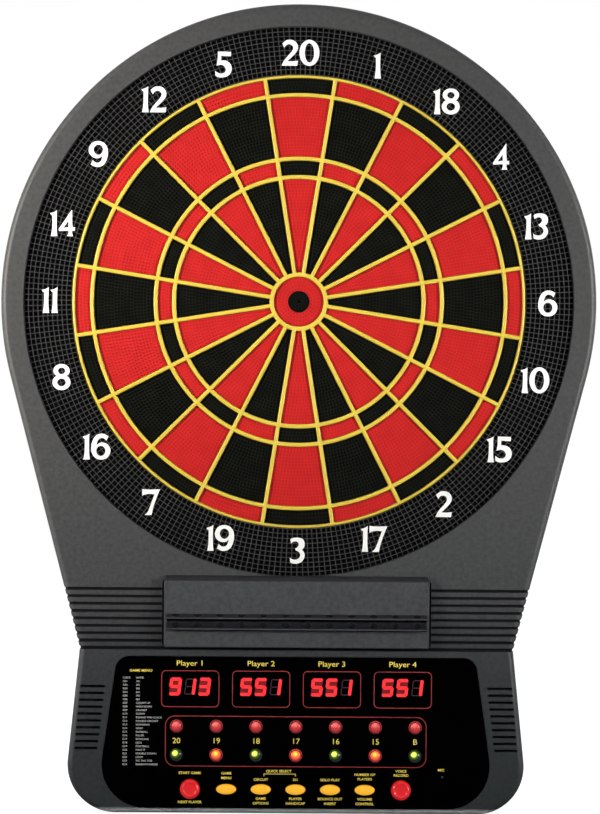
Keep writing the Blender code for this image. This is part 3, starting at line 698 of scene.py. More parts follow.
def make_housing():
    outline = cabinet_outline()
    rim = [(0.0, 0.0)]
    for step in range(10):
        lift = step * math.pi / 2 / 9
        rim.append((RIM_RADIUS * (1 - math.cos(lift)), CASE_DEPTH - RIM_RADIUS * (1 - math.sin(lift))))
    housing = prism("housing_shell", outline, rim, "housing")
    carve(housing, prism("cavity", outline, [(CASE_WALL, -0.01), (CASE_WALL, CASE_DEPTH - CASE_WALL)]))
    carve(housing, at_bosses("bosses", 0.0045, 20, [(0, 0.0033), (0, 0.048)]), "UNION")
    carve(housing, at_bosses("holes", 0.0018, 16, [(0, -0.01), (0, 0.022)]))
    lip = [(0.0, 0.043), (0.0, 0.0491), (-0.0003, 0.0497), (-0.0010, CASE_DEPTH), (-0.0010, 0.052)]
    carve(housing, prism("opening", circle(OPENING_RADIUS, steps=240), lip))
    lip = [(0.0, 0.0478), (0.0, 0.0494), (-0.0002, 0.0498), (-0.0007, CASE_DEPTH), (-0.0007, 0.052)]
    carve(housing, prism("pocket", inset(window_outline(), -0.0004), lip))
    carve(housing, prism("through", window_outline(), [(0.0035, 0.043), (0.0035, 0.052)]))
    for cutter in vent_cutters():
        carve(housing, cutter)
    for index in range(RIB_COUNT):
        carve(housing, joined("grooves", groove(index)))
    # The seat round the holder is a real shallow recess, painted near black as shade.
    width, low, high = HOLDER_HALF_WIDTH + 0.0016, HOLDER_Y[0] - 0.0005, HOLDER_Y[1] - 0.0032
    seat = round_box(-width, width, low, high, 0.004)
    carve(housing, prism("seat", seat, [(0, 0.0488), (0, 0.052)], "groove"))
    jack = lathe("jack_hole", [(0, 0.02), (0.0049, 0.02), (0.0049, -0.02), (0, -0.02)], 32)
    carve(housing, moved(jack, (JACK_X, BOTTOM_Y, INLET_HEIGHT), math.pi / 2))
    slot = prism("switch_slot", round_box(-0.0060, 0.0060, -0.0020, 0.0020, 0.0006), THROUGH)
    carve(housing, moved(slot, (SWITCH_X, BOTTOM_Y, INLET_HEIGHT), math.pi / 2))
    settle(smooth(housing), ["front_housing"])


# Target

HOLE_PITCH = 0.0028
HOLE_RADIUS = 0.00050
HOLE_SIDES = 6
FUNNEL_DEPTH = 0.0006
# Values at the holes' rims and floors, where the pads are painted darkest as shade
RIM_SHADE, FUNNEL_SHADE = 0.05, 0.0


def cell_outline(band, gap=0.0, half_wall=SPOKE_WIDTH / 2, arc_steps=8):
    """The space between two spokes and two rings, drawn in by a gap, about straight up."""
    inner, outer = band[0] + gap, band[1] - gap

    def side(radius):
        return WEDGE_ANGLE / 2 - math.asin((half_wall + gap) / radius)

    shares = [2 * step / arc_steps - 1 for step in range(arc_steps + 1)]
    return [polar(outer, side(outer) * s) for s in shares] + [polar(inner, -side(inner) * s) for s in shares]


def ring_walk(outer, ring, centre, points):
    """Triangles between an outline round a hole and the hole's own ring, both by point number."""

    def in_order(loop):
        turn = [math.atan2(points[i][1] - centre[1], points[i][0] - centre[0]) for i in loop]
        start = turn.index(min(turn))
        return loop[start:] + loop[:start], turn[start:] + turn[:start]

    def turn_at(turns, index):
        return turns[index % len(turns)] + 2 * math.pi * (index // len(turns))

    outer, outer_turn = in_order(outer)
    ring, ring_turn = in_order(ring)
    faces, i, j = [], 0, 0
    while i < len(outer) or j < len(ring):
        a, b = outer[i % len(outer)], ring[j % len(ring)]
        outer_first = i < len(outer) and turn_at(outer_turn, i + 1) <= turn_at(ring_turn, j + 1)
        if outer_first or j >= len(ring):
            i += 1
            faces.append((a, outer[i % len(outer)], b))
        else:
            j += 1
            faces.append((a, ring[j % len(ring)], b))
    return faces


class Pad:
    """Collects the points and faces of a perforated piece, each face with its material's place."""

    def __init__(self):
        self.points, self.faces, self.marks, self.tones = [], [], [], []

    def add(self, point, tone=1.0):
        self.points.append(tuple(point))
        self.tones.append(tone)
        return len(self.points) - 1

    def cover(self, faces, mark):
        self.faces += [tuple(face) for face in faces]
        self.marks += [mark] * len(faces)

    def hole(self, outline, centre, radius, mark, pocket):
        """A funnel in a cell of the top face. Its rim and floor points get low values, for painted shade in
        the hole.
        """
        angles = [2 * math.pi * (i + 0.5) / HOLE_SIDES for i in range(HOLE_SIDES)]
        floor = PAD_TOP - FUNNEL_DEPTH
        rings = []
        for size, height, tone in ((radius, PAD_TOP, RIM_SHADE), (radius * 0.50, floor, FUNNEL_SHADE)):
            ring = [(centre[0] + size * math.cos(a), centre[1] + size * math.sin(a), height) for a in angles]
            rings.append([self.add(p, tone) for p in ring])
        self.cover(ring_walk(outline, rings[0], centre, self.points), mark)
        self.cover(between(*rings) + [rings[1]], pocket)

    def object(self, name, *finishes):
        return link(name, mesh_of(name, self.points, self.faces, self.marks, self.tones), *finishes)


def perforated(pad, band, side, bottom, marks, pitch=HOLE_PITCH):
    """A pad between two radii and two sides, its top a grid of funnels in concentric rows.

    side(radius) is half the pad's angle there; None makes a whole ring. Returns the loops round its bottom.
    """
    inner, outer = band
    closed = side is None
    rows = max(1, round((outer - inner) / pitch))
    radii = [inner + (outer - inner) * row / rows for row in range(rows + 1)]
    middles = [(low + high) / 2 for low, high in zip(radii, radii[1:])]

    def half(radius):
        return math.pi if closed else side(radius)

    counts = [max(1, round(2 * half(middle) * middle / pitch)) for middle in middles]
    shares = [[round(2 * k / count - 1, 9) for k in range(count + 1)] for count in counts]
    bounds = []
    for level, radius in enumerate(radii):
        both = set(shares[level - 1] if level else []) | set(shares[level] if level < rows else [])
        if level in (0, rows):
            both |= {round(2 * k / 8 - 1, 9) for k in range(9)}
        if closed:
            both.discard(1.0)
        bounds.append({s: pad.add((*polar(radius, half(radius) * s), PAD_TOP)) for s in sorted(both)})

    def edge(level, low, high):
        found = [bounds[level][s] for s in sorted(bounds[level]) if low - 1e-9 <= s <= high + 1e-9]
        if closed and high > 1 - 1e-9:
            found.append(bounds[level][-1.0])
        return found

    for row, radius in enumerate(middles):
        for low, high in zip(shares[row], shares[row][1:]):
            outline = edge(row + 1, low, high) + edge(row, low, high)[::-1]
            centre = polar(radius, half(radius) * (low + high) / 2)
            width = half(radius) * (high - low) * radius
            pad.hole(outline, centre, min(HOLE_RADIUS, width * 0.37), *marks)
    if closed:
        loops = [edge(rows, -1, 1)[:-1], edge(0, -1, 1)[:-1]]
    else:
        right = [bounds[level][1.0] for level in range(rows - 1, 0, -1)]
        left = [bounds[level][-1.0] for level in range(1, rows)]
        loops = [edge(rows, -1, 1) + right + edge(0, -1, 1)[::-1] + left]
    lowered = [[pad.add((*pad.points[i][:2], bottom)) for i in loop] for loop in loops]
    for loop, below in zip(loops, lowered):
        pad.cover(between(loop, below), marks[0])
    return lowered


def wedge_mesh():
    """Four perforated pads on one carrier, pointing straight up.

    Material places 0 and 1 are the rings', 2 and 3 the singles'.
    """
    pad = Pad()

    def side(radius):
        return WEDGE_ANGLE / 2 - math.asin((SPOKE_WIDTH / 2 + SEGMENT_GAP) / radius)

    for band, marks in ((INNER_SINGLE, (2, 3)), (TRIPLE, (0, 1)), (OUTER_SINGLE, (2, 3)), (DOUBLE, (0, 1))):
        drawn = (band[0] + SEGMENT_GAP, band[1] - SEGMENT_GAP)
        pad.cover(perforated(pad, drawn, side, CARRIER_HEIGHTS[1] - 0.0004, marks), marks[0])
    carrier = cell_outline((INNER_SINGLE[0] + SEGMENT_GAP, DOUBLE[1] + 0.0006), 0.0, 0.0003)
    rows = [[pad.add((p.x, p.y, height)) for p in carrier] for height in CARRIER_HEIGHTS]
    pad.cover(between(*rows) + rows, 0)
    return mesh_of("segment_pads", pad.points, pad.faces, pad.marks, pad.tones)


def make_segments():
    mesh = wedge_mesh()
    pairs = (("black", "black_pocket"), ("red", "red_pocket"))
    for name in pairs[0] + pairs[1]:
        mesh.materials.append(MATERIALS[name])
    for place, number in enumerate(NUMBERS):
        rings, singles = (pairs[1], pairs[0]) if place % 2 else pairs
        obj = placed(f"segment_pads_{number}", mesh)
        for slot, name in zip(obj.material_slots, rings + singles):
            slot.link = "OBJECT"
            slot.material = MATERIALS[name]
        node_name = f"segment_{number}"
        settle(obj, [node_name], node_name, turn=-place * WEDGE_ANGLE)


def make_bulls():
    pad = Pad()
    low = CARRIER_HEIGHTS[0]
    outer_low, inner_low = perforated(pad, (INNER_BULL_RADIUS + SEGMENT_GAP, BULL_RADIUS), None, low, (0, 1))
    pad.cover(ring_walk(outer_low, inner_low, (0, 0), pad.points), 0)
    outer = pad.object("outer_bull_pad", "red", "red_pocket")
    settle(outer, ["outer_bull"], "outer_bull")
    pad = Pad()
    outer_low, inner_low = perforated(pad, (0.0013, INNER_BULL_RADIUS), None, low, (0, 1), 0.0027)
    pad.cover([outer_low], 0)
    # The middle hole runs down to its own floor.
    pad.cover([inner_low], 1)
    inner = pad.object("inner_bull_pad", "black", "black_pocket")
    settle(inner, ["inner_bull"], "inner_bull")


def make_spider():
    outlines = [circle(TARGET_RADIUS, steps=240)]
    for wedge in range(WEDGES):
        for band in (INNER_SINGLE, TRIPLE, OUTER_SINGLE, DOUBLE):
            cell = cell_outline(band, arc_steps=4 if band is INNER_SINGLE else 10)
            outlines.append([turned_by(p, -wedge * WEDGE_ANGLE) for p in cell])
    outlines.append(circle(BULL_RADIUS + SEGMENT_GAP, steps=64))
    web = plate("divider_web", outlines, SPIDER_HEIGHTS, "yellow", rim=0.0011, steps=4)
    settle(smooth(web, 50.0), ["spider"])


def make_number_ring():
    """A ring with a polar grid of square pockets, and the flange and skirt behind it."""
    columns, top = 300, RING_FRONT
    radii = [0.1986] + [0.2029 + 0.00415 * row for row in range(9)] + [RING_OUTER_RADIUS]
    # A pocket's wall, its rounded lip and its floor, each as how far in, how far down and its material place;
    # the pocket below the lip takes the near-black finish, painted shade
    levels = ((0.00004, 0.0, 0), (0.00028, 0.00043, 0), (0.00145, 0.0025, 1))
    pad = Pad()
    steps = 2 * math.pi / columns
    grid = [[pad.add((*polar(r, c * steps), top)) for c in range(columns)] for r in radii]
    for row in range(len(radii) - 1):
        inner, outer = radii[row], radii[row + 1]
        for column in range(columns):
            after = (column + 1) % columns
            previous = [grid[row][column], grid[row + 1][column], grid[row + 1][after], grid[row][after]]
            for inside, depth, mark in levels:
                low = inner + (inside if row else inside * 0.3)
                high = outer - (inside if row < len(radii) - 2 else inside * 0.3)
                points = [(r, column * steps + inside / r) for r in (low, high)]
                points += [(r, (column + 1) * steps - inside / r) for r in (high, low)]
                ring = [pad.add((*polar(r, a), top - depth)) for r, a in points]
                pad.cover(between(previous, ring), mark)
                previous = ring
            pad.cover([previous], 1)
    profile = [(RING_OUTER_RADIUS, 0.0462), (0.2436, 0.0462), (0.2436, 0.0437), (0.2350, 0.0437)]
    profile += [(0.2350, 0.0294), (0.2300, 0.0294), (0.2300, SPIDER_HEIGHTS[0])]
    profile += [(RING_INNER_RADIUS, SPIDER_HEIGHTS[0]), (RING_INNER_RADIUS, top - 0.0004)]
    rows = [grid[-1]]
    for radius, height in profile:
        rows.append([pad.add((*polar(radius, c * steps), height)) for c in range(columns)])
    rows.append(grid[0])
    for upper, lower in zip(rows, rows[1:]):
        pad.cover(between(upper, lower), 0)
    mesh = mesh_of("catch_ring", pad.points, pad.faces, pad.marks)
    settle(link("catch_ring", mesh, "ring", "ring_pocket_shade"), ["number_ring"])


# Numbers, drawn as outlines in a box one unit high. A third value marks a corner; the rest is a smooth curve.
BOWL_ANGLES = [step * math.pi / 8 for step in range(16)]
GLYPHS = {
    "1": [
        [(0.271, 1.0, 1), (0.258, 0.70), (0.26, 0.28), (0.289, 0.0, 1), (0.037, 0.0, 1), (0.076, 0.25),
         (0.089, 0.50), (0.087, 0.795, 1), (0.047, 0.81, 1), (0.0, 0.885, 1), (0.148, 0.925)],
    ],
    "2": [
        [(0.025, 0.85, 1), (0.11, 0.93), (0.20, 0.985), (0.32, 1.0), (0.43, 0.985), (0.545, 0.92),
         (0.62, 0.80), (0.63, 0.66), (0.57, 0.53), (0.42, 0.36), (0.225, 0.18, 1), (0.42, 0.172),
         (0.64, 0.20, 1), (0.605, 0.0, 1), (0.0, 0.0, 1), (0.08, 0.17), (0.20, 0.33), (0.35, 0.50),
         (0.43, 0.62), (0.44, 0.72), (0.38, 0.80), (0.27, 0.825), (0.17, 0.78), (0.11, 0.69, 1)],
    ],
    "3": [
        [(0.03, 0.93, 1), (0.11, 0.98), (0.24, 1.0), (0.38, 0.995), (0.50, 0.95), (0.575, 0.85),
         (0.585, 0.71), (0.545, 0.60), (0.475, 0.53, 1), (0.54, 0.47), (0.59, 0.35), (0.57, 0.21),
         (0.47, 0.07), (0.31, 0.0), (0.15, 0.0), (0.035, 0.035, 1), (0.015, 0.235, 1), (0.075, 0.185),
         (0.175, 0.155), (0.305, 0.17), (0.395, 0.25), (0.41, 0.37), (0.34, 0.465), (0.245, 0.51, 1),
         (0.22, 0.575, 1), (0.295, 0.625), (0.35, 0.71), (0.34, 0.80), (0.26, 0.85), (0.155, 0.835),
         (0.062, 0.78, 1)],
    ],
    "4": [
        [(0.49, 1.0, 1), (0.263, 0.66), (0.0, 0.27, 1), (0.013, 0.19, 1), (0.381, 0.215, 1), (0.372, 0.11),
         (0.333, 0.0, 1), (0.556, 0.0, 1), (0.525, 0.11), (0.529, 0.215, 1), (0.621, 0.205, 1),
         (0.634, 0.35, 1), (0.534, 0.34, 1), (0.518, 0.66), (0.518, 1.0, 1)],
        [(0.372, 0.59, 1), (0.376, 0.345, 1), (0.188, 0.325, 1)],
    ],
    "5": [
        [(0.10, 1.0, 1), (0.61, 0.985, 1), (0.60, 0.815, 1), (0.235, 0.835, 1), (0.225, 0.655, 1),
         (0.42, 0.645), (0.58, 0.53), (0.64, 0.36), (0.61, 0.20), (0.49, 0.06), (0.30, 0.0), (0.13, 0.01),
         (0.01, 0.06, 1), (0.0, 0.26, 1), (0.07, 0.20), (0.18, 0.155), (0.30, 0.16), (0.39, 0.225),
         (0.405, 0.34), (0.335, 0.44), (0.235, 0.485), (0.13, 0.47), (0.05, 0.445, 1), (0.09, 0.70)],
    ],
    "7": [
        [(0.0, 1.0, 1), (0.19, 0.985), (0.42, 0.985), (0.69, 1.0, 1), (0.56, 0.67), (0.44, 0.32),
         (0.37, 0.0, 1), (0.10, 0.0, 1), (0.22, 0.13), (0.315, 0.36), (0.475, 0.80, 1), (0.28, 0.815),
         (0.12, 0.79), (0.0, 0.74, 1)],
    ],
    "6": [
        [(0.665, 0.905, 1), (0.49, 0.99), (0.31, 0.99), (0.145, 0.89), (0.04, 0.69), (0.0, 0.45),
         (0.04, 0.22), (0.18, 0.055), (0.385, 0.0), (0.59, 0.055), (0.72, 0.22), (0.74, 0.42), (0.63, 0.59),
         (0.46, 0.66), (0.31, 0.64), (0.215, 0.555, 1), (0.24, 0.68), (0.29, 0.785), (0.39, 0.835),
         (0.50, 0.815), (0.59, 0.725, 1)],
        [(0.375 + 0.175 * math.cos(a), 0.335 + 0.195 * math.sin(a)) for a in BOWL_ANGLES],
    ],
}
OVALS = {
    "0": [(0.387, 0.5, 0.387, 0.505), (0.387, 0.5, 0.180, 0.370)],
    "8": [(0.350, 0.745, 0.317, 0.255), (0.350, 0.295, 0.350, 0.300), (0.350, 0.735, 0.136, 0.125)]
    + [(0.350, 0.292, 0.162, 0.145)],
}
WIDTHS = (0.774, 0.29, 0.64, 0.59, 0.635, 0.64, 0.74, 0.69, 0.70, 0.74)
GLYPH_WIDTHS = dict(zip("0123456789", WIDTHS))


def smooth_run(points, steps=4):
    """A curve through points that keeps its marked corners."""
    count = len(points)
    made = []
    for i in range(count):
        here, after = points[i], points[(i + 1) % count]
        before = here if len(here) > 2 else points[i - 1]
        beyond = after if len(after) > 2 else points[(i + 2) % count]
        for step in range(steps):
            t = step / steps
            row = []
            for axis in (0, 1):
                a, b, c, d = before[axis], here[axis], after[axis], beyond[axis]
                bend = 2 * a - 5 * b + 4 * c - d + t * (3 * (b - c) + d - a)
                row.append(b + 0.5 * t * (c - a + t * bend))
            made.append(Vector(row))
    return made


def glyph_outlines(character):
    """The character's closed outlines: first the solid ones, then the holes."""
    if character == "9":
        width = GLYPH_WIDTHS["6"]
        return [[Vector((width - p.x, 1 - p.y)) for p in outline] for outline in glyph_outlines("6")]
    if character in OVALS:
        return [ellipse(2 * rx, 2 * ry, (x, y), 40) for x, y, rx, ry in OVALS[character]]
    return [smooth_run(outline) for outline in GLYPHS[character]]


def clockwise(points):
    area = sum(a.x * b.y - b.x * a.y for a, b in zip(points, points[1:] + points[:1]))
    return points if area < 0 else points[::-1]


def glyph(character, corner, height, heights, finish):
    """One raised numeral."""
    outlines = [clockwise([corner + p * height for p in outline]) for outline in glyph_outlines(character)]
    if character == "8":
        body = plate("glyph", outlines[:1], heights, finish)
        carve(body, plate("bowl", outlines[1:2], heights, finish), "UNION")
        tall = (heights[0] - 0.001, heights[1] + 0.001)
        return carve(body, plate("holes", outlines[2:], tall, finish))
    return plate("glyph", outlines, heights, finish)


def make_numbers():
    """The 20 numbers, upright, standing on the ring's grid."""
    size, gap, radius = 0.0227, 0.0010, 0.2173
    heights = (RING_FRONT - 0.0004, RING_FRONT + 0.0005)
    numerals = []
    for place, number in enumerate(NUMBERS):
        text = str(number)
        width = sum(GLYPH_WIDTHS[c] * size for c in text) + gap * (len(text) - 1)
        centre = polar(radius, place * WEDGE_ANGLE)
        x = centre.x - width / 2
        for character in text:
            numerals.append(glyph(character, Vector((x, centre.y - size / 2)), size, heights, "white"))
            x += GLYPH_WIDTHS[character] * size + gap
    settle(joined("ring_numbers", numerals))


# Dart holder


def make_holder():
    """A chamfered block with a slot between two drilled rails."""
    low, high = HOLDER_Y
    half = HOLDER_HALF_WIDTH
    # The sides, the top and the bottom are drawn in by these, at a height.
    profile = [(0.0, 0.0, 0.0, HOLDER_BASE), (0.0, 0.0, 0.0, 0.0545), (0.0001, 0.0008, 0.0001, 0.0562)]
    profile += [(0.0003, 0.0026, 0.0003, 0.0584), (0.0006, 0.0038, 0.0006, 0.0596)]
    profile.append((0.0011, 0.0046, 0.0010, HOLDER_FRONT))
    loops = []
    for side, top, bottom, height in profile:
        outline = round_box(-half + side, half - side, low + bottom, high - top, 0.0036, 6, 0.002)
        loops.append([(p.x, p.y, height) for p in outline])
    holder = stack("dart_rack", loops, "holder")
    hollow = round_box(-half + 0.003, half - 0.003, low + 0.003, high - 0.004, 0.002)
    carve(holder, prism("hollow", hollow, [(0, 0.04), (0, HOLDER_BASE + 0.0022)]))
    t, length = LEDGE_THICKNESS / 2, LEDGE_HALF_LENGTH
    # The lower rail is thicker where it leaves the block.
    lower_root = 0.0028
    slot_low, slot_high = LEDGE_CENTRES[1] + t + lower_root - 0.0002, LEDGE_CENTRES[0] - t + 0.0004
    # The slot and the line under the lower rail are real recesses, painted near black as shade.
    slot = round_box(-length, length, slot_low, slot_high, 0.0015)
    carve(holder, prism("slot", slot, [(0, HOLDER_FRONT - 0.005), (0, 0.07)], "groove"))
    low_edge = LEDGE_CENTRES[1] - t
    under = round_box(-length, length, low_edge - 0.0011, low_edge + 0.0010, 0.0005)
    carve(holder, prism("shadow_line", under, [(0, HOLDER_FRONT - 0.003), (0, 0.07)], "groove"))
    for centre, root in zip(LEDGE_CENTRES, (0.0, lower_root)):
        section = [(0.0588, t + root), (0.0603, t + root), (0.0614, t - 0.0002 + root * 0.6)]
        section += [(0.0640, t - 0.0012), (0.0668, t - 0.0019), (0.0680, t - 0.0024)]
        section += [(LEDGE_REACH, t - 0.0029), (LEDGE_REACH, -t + 0.0003), (LEDGE_REACH - 0.0003, -t)]
        section.append((0.0588, -t))
        loops = []
        for share, shrink in ((-1.0, 0.0006), (-0.997, 0.0), (0.997, 0.0), (1.0, 0.0006)):
            loop = []
            for height, dy in section:
                height = min(height, LEDGE_REACH - shrink)
                loop.append((share * length, centre + dy * (1 - shrink / 0.0021 * 0.5), height))
            loops.append(loop)
        # The rails take the darker rail finish: painted shade.
        carve(holder, stack("rail", loops, "rail"), "UNION")
    holes = []
    for hole in range(DART_HOLES):
        x = (hole - (DART_HOLES - 1) / 2) * DART_HOLE_PITCH
        profile = [(0, 0.0), (DART_HOLE_RADIUS, 0.0), (DART_HOLE_RADIUS, -0.0185), (0, -0.0185)]
        place = (x, LEDGE_CENTRES[0] + 0.0050, DART_HOLE_HEIGHT)
        holes.append(moved(lathe("hole", profile, 24), place, -math.pi / 2))
    carve(holder, joined("dart_holes", holes))
    # Painted shade: the holes' walls take the near-black finish, and the block's bevels the rails' darker
    # finish; the rails' front edges keep the block's own finish, so they stay pale.
    dark = holder.data.materials.find("groove_painted_shade")
    shaded_edge_finish = holder.data.materials.find("rail_painted_shade")
    for face in holder.data.polygons:
        centre = face.center
        hole = round(centre.x / DART_HOLE_PITCH - 0.5) + 0.5
        off = math.hypot(centre.x - hole * DART_HOLE_PITCH, centre.z - DART_HOLE_HEIGHT)
        if abs(off - DART_HOLE_RADIUS) < 0.00006 and abs(face.normal.y) < 0.05:
            face.material_index = dark
        if face.normal.z > 0.95 and centre.z > LEDGE_REACH - 0.0002:
            face.material_index = 0
        edge = centre.y > high - 0.0047 or half - abs(centre.x) < 0.0012
        if edge and centre.z > 0.0540 and face.normal.z < 0.97:
            face.material_index = shaded_edge_finish
    settle(smooth(holder, 34.0), ["dart_holder"])


# Console


def led_places():
    return [(column - (LED_COLUMNS - 1) / 2) * LED_PITCH for column in range(LED_COLUMNS)]


def oval_places():
    names = ("menu_button", "circuit_button", "handicap_button", "solo_button", "players_button")
    return {name: (index - 2) * OVAL_BUTTON_PITCH for index, name in enumerate(names)}


def make_window():
    gap = 0.0004
    outlines = [window_outline()]
    for y in LED_ROWS:
        outlines += [circle(LED_RADIUS + gap, (x, y), 32) for x in led_places()]
    for x in (-ROUND_BUTTON_X, ROUND_BUTTON_X):
        outlines.append(circle(ROUND_BUTTON_RADIUS + gap, (x, BUTTON_Y), 48))
    width, height = (size + 2 * gap for size in OVAL_BUTTON_SIZE)
    outlines += [ellipse(width, height, (x, BUTTON_Y), 40) for x in oval_places().values()]
    outlines.append(circle(0.0010, MICROPHONE, 12))
    window = plate("console_panel", outlines, WINDOW_HEIGHTS, "window", rim=0.00025, steps=2)
    settle(smooth(window, 40.0), ["control_window"])


INK = (WINDOW_HEIGHTS[1] + 0.00002, WINDOW_HEIGHTS[1] + 0.00007)
CAP_SHARE = 0.729


def writing(text, x, y, size, finish, stretch, weight=0.0, align="CENTER"):
    """Printed lettering of this cap height, in Blender's own font, centred on a height y."""
    curve = bpy.data.curves.new("writing", "FONT")
    curve.body = text
    curve.align_x = align
    curve.align_y = "CENTER"
    curve.size = size / CAP_SHARE
    curve.extrude = (INK[1] - INK[0]) / 2
    curve.offset = weight
    curve.resolution_u = 3
    obj = placed("writing", curve)
    mesh = evaluated(obj)
    bpy.data.objects.remove(obj, do_unlink=True)
    middle = Vector((x, y, (INK[0] + INK[1]) / 2))
    mesh.transform(Matrix.Translation(middle) @ Matrix.Diagonal((stretch, 1, 1, 1)))
    mesh.materials.clear()
    return link("writing", mended(mesh, face_out=False), finish)


def frame_line(left, right, low, high, radius):
    outer = round_box(left, right, low, high, radius, 8)
    return plate("frame_line", [outer, inset(outer, 0.0006)], INK, "red_print")


BARS = {
    "a": ((0.10, 1.0), (0.90, 1.0)),
    "b": ((1.0, 0.94), (1.0, 0.56)),
    "c": ((1.0, 0.44), (1.0, 0.06)),
    "d": ((0.10, 0.0), (0.90, 0.0)),
    "e": ((0.0, 0.44), (0.0, 0.06)),
    "f": ((0.0, 0.94), (0.0, 0.56)),
    "g": ((0.10, 0.5), (0.90, 0.5)),
}
LIT = {"9": "abcdfg", "1": "bc", "3": "abcdg", "5": "acdfg"}


def bar(name, corner, size, slant, thickness, heights, finish):
    """One bar of a seven-bar digit, with pointed ends."""
    ends = []
    for u, v in BARS[name]:
        ends.append(Vector((corner.x + u * size.x + slant * v * size.y, corner.y + v * size.y)))
    along = (ends[1] - ends[0]).normalized()
    across = Vector((-along.y, along.x)) * thickness / 2
    tip, shoulder = along * thickness / 2 * 1.05, along * thickness / 2 * 0.45
    points = [ends[0] - tip, ends[0] - shoulder + across, ends[1] + shoulder + across]
    points += [ends[1] + tip, ends[1] + shoulder - across, ends[0] - shoulder - across]
    return plate("bar", [clockwise(points)], heights, finish)


def make_displays():
    size, slant, pitch = Vector((0.0076, 0.0130)), 0.12, 0.0127
    low = WINDOW_HEIGHTS[1] + 0.00002
    for index, digits in enumerate(("913", "551", "551", "551")):
        middle = (index - 1.5) * DISPLAY_PITCH + 0.0005
        lit, glow, dark = [], [], []
        for place, digit in enumerate(digits):
            left = middle - 0.0013 + (place - 1) * pitch - size.x / 2
            corner = Vector((left, DISPLAY_Y + 0.0017 - size.y / 2))
            for name in BARS:
                if name in LIT[digit]:
                    heights = (low + 0.00006, low + 0.00012)
                    lit.append(bar(name, corner, size, slant, 0.0027, heights, "lit"))
                elif digit == "1":
                    heights = (low + 0.00003, low + 0.00005)
                    dark.append(bar(name, corner, size, slant, 0.0008, heights, "unlit"))
            # Painted light: a dim glow plate under each digit stands in for light spilling from its bars
            if digit != "1":
                cell = [(-0.0008, 0.0134), (0.0083, 0.0134), (0.0083, -0.0004), (-0.0008, -0.0004)]
                cell = [corner + Vector((x + slant * y, y)) for x, y in cell]
                glow.append(plate("glow", [clockwise(cell)], (low, low + 0.00003), "halo"))
        number = index + 1
        settle(joined(f"display_bars_{number}", lit))
        settle(joined(f"display_dark_bars_{number}", dark))
        settle(joined(f"display_glow_{number}", glow))


SMALL_LABELS = (
    ("START GAME", -0.0922, -0.4118), ("NEXT PLAYER", -0.0922, -0.4372),
    ("GAME", -0.0604, -0.4119), ("MENU", -0.0604, -0.4160),
    ("QUICK SELECT", -0.0146, -0.4098), ("CIRCUIT", -0.0302, -0.4172), ("301", 0.0, -0.4172),
    ("GAME", -0.0302, -0.4338), ("OPTIONS", -0.0302, -0.4379),
    ("PLAYER", 0.0, -0.4338), ("HANDICAP", 0.0, -0.4379),
    ("SOLO PLAY", 0.0302, -0.4172), ("BOUNCE OUT", 0.0302, -0.4338), ("INSERT", 0.0302, -0.4379),
    ("NUMBER OF", 0.0604, -0.4124), ("PLAYERS", 0.0604, -0.4163),
    ("VOLUME", 0.0604, -0.4338), ("CONTROL", 0.0604, -0.4379),
    ("VOICE", 0.092, -0.4092), ("RECORD", 0.092, -0.4128), ("MIC", 0.127, -0.4080),
)
GAMES = (
    "NAME", "301", "401", "501", "601", "701", "801", "COUNT UP", "HIGH SCORE", "CRICKET", "SCRAM",
    "ROUND THE CLOCK", "DOUBLE CRICKET", "SHANGHAI", "GOLF", "BASEBALL", "KILLER", "BOWLING", "LEGS",
    "FOOTBALL", "HALF IT", "DOUBLE DOWN", "LOOP", "TIC TAC TOE", "RANDOM RANGE",
)


def make_prints():
    lines = []
    for index in range(4):
        x = (index - 1.5) * DISPLAY_PITCH + 0.0004
        lines.append(frame_line(x - 0.0253, x + 0.0253, -0.3543, -0.3223, 0.0042))
    lines.append(frame_line(-0.1140, 0.1140, -0.4060, -0.3618, 0.0085))
    settle(joined("red_frames", lines))
    words = []
    for index in range(4):
        x = (index - 1.5) * DISPLAY_PITCH + 0.0002
        words.append(writing(f"Player {index + 1}", x, -0.3162, 0.0048, "yellow_print", 1.14))
    for text, x in zip(("20", "19", "18", "17", "16", "15", "B"), led_places()):
        words.append(writing(text, x, -0.3838, 0.0050, "yellow_print", 1.05))
    settle(joined("yellow_labels", words))
    bold = 0.00005
    words = [writing(text, x, y, 0.0022, "yellow_print", 1.1, bold) for text, x, y in SMALL_LABELS]
    settle(joined("small_labels", words))
    left, right, low, high, width = -0.0278, 0.0002, -0.4141, -0.4119, 0.0006
    bracket = [(left, low), (left, high), (right, high), (right, low), (right - width, low)]
    bracket += [(right - width, high - 0.0005), (left + width, high - 0.0005), (left + width, low)]
    settle(plate("bracket_line", [bracket], INK, "yellow_print"))
    heading = writing("GAME MENU", -0.1354, -0.3227, 0.0021, "yellow_print", 1.2, bold)
    heading.name = "list_heading"
    settle(heading)
    rows = []
    for line, game in enumerate(GAMES):
        y = -0.3290 - line * 0.00315
        code = f"G{line:02d}" if line else "CODE"
        for text, x in ((code, -0.1512), (game, -0.1396)):
            rows.append(writing(text, x, y, 0.0016, "pale_print", 1.1, align="LEFT"))
    settle(joined("list_lines", rows))


def make_lamps():
    """Domed lenses through the panel, each with its own coordinates for its glow."""
    dome = [(0, 0.0540)]
    for step in range(1, 10):
        angle = step * math.pi / 2 / 9
        dome.append((0.00575 * math.sin(angle), 0.0502 + 0.0038 * math.cos(angle)))
    profile = dome + [(0.0053, 0.0501), (0.0053, 0.0440), (0, 0.0440)]
    red, green, orange = ("lens_red", "lamp_red"), ("lens_green", "lamp_green"), ("lens_orange", "lamp_amber")
    for level, y, kinds in zip(("upper", "lower"), LED_ROWS, ((red, red), (green, orange))):
        for column, x in enumerate(led_places()):
            finish, slot = kinds[column % 2]
            lens = lathe(f"lamp_{level}_{column + 1}", profile, 40, finish)
            settle(smooth(lens, 60.0, False), at=(x, y, 0))


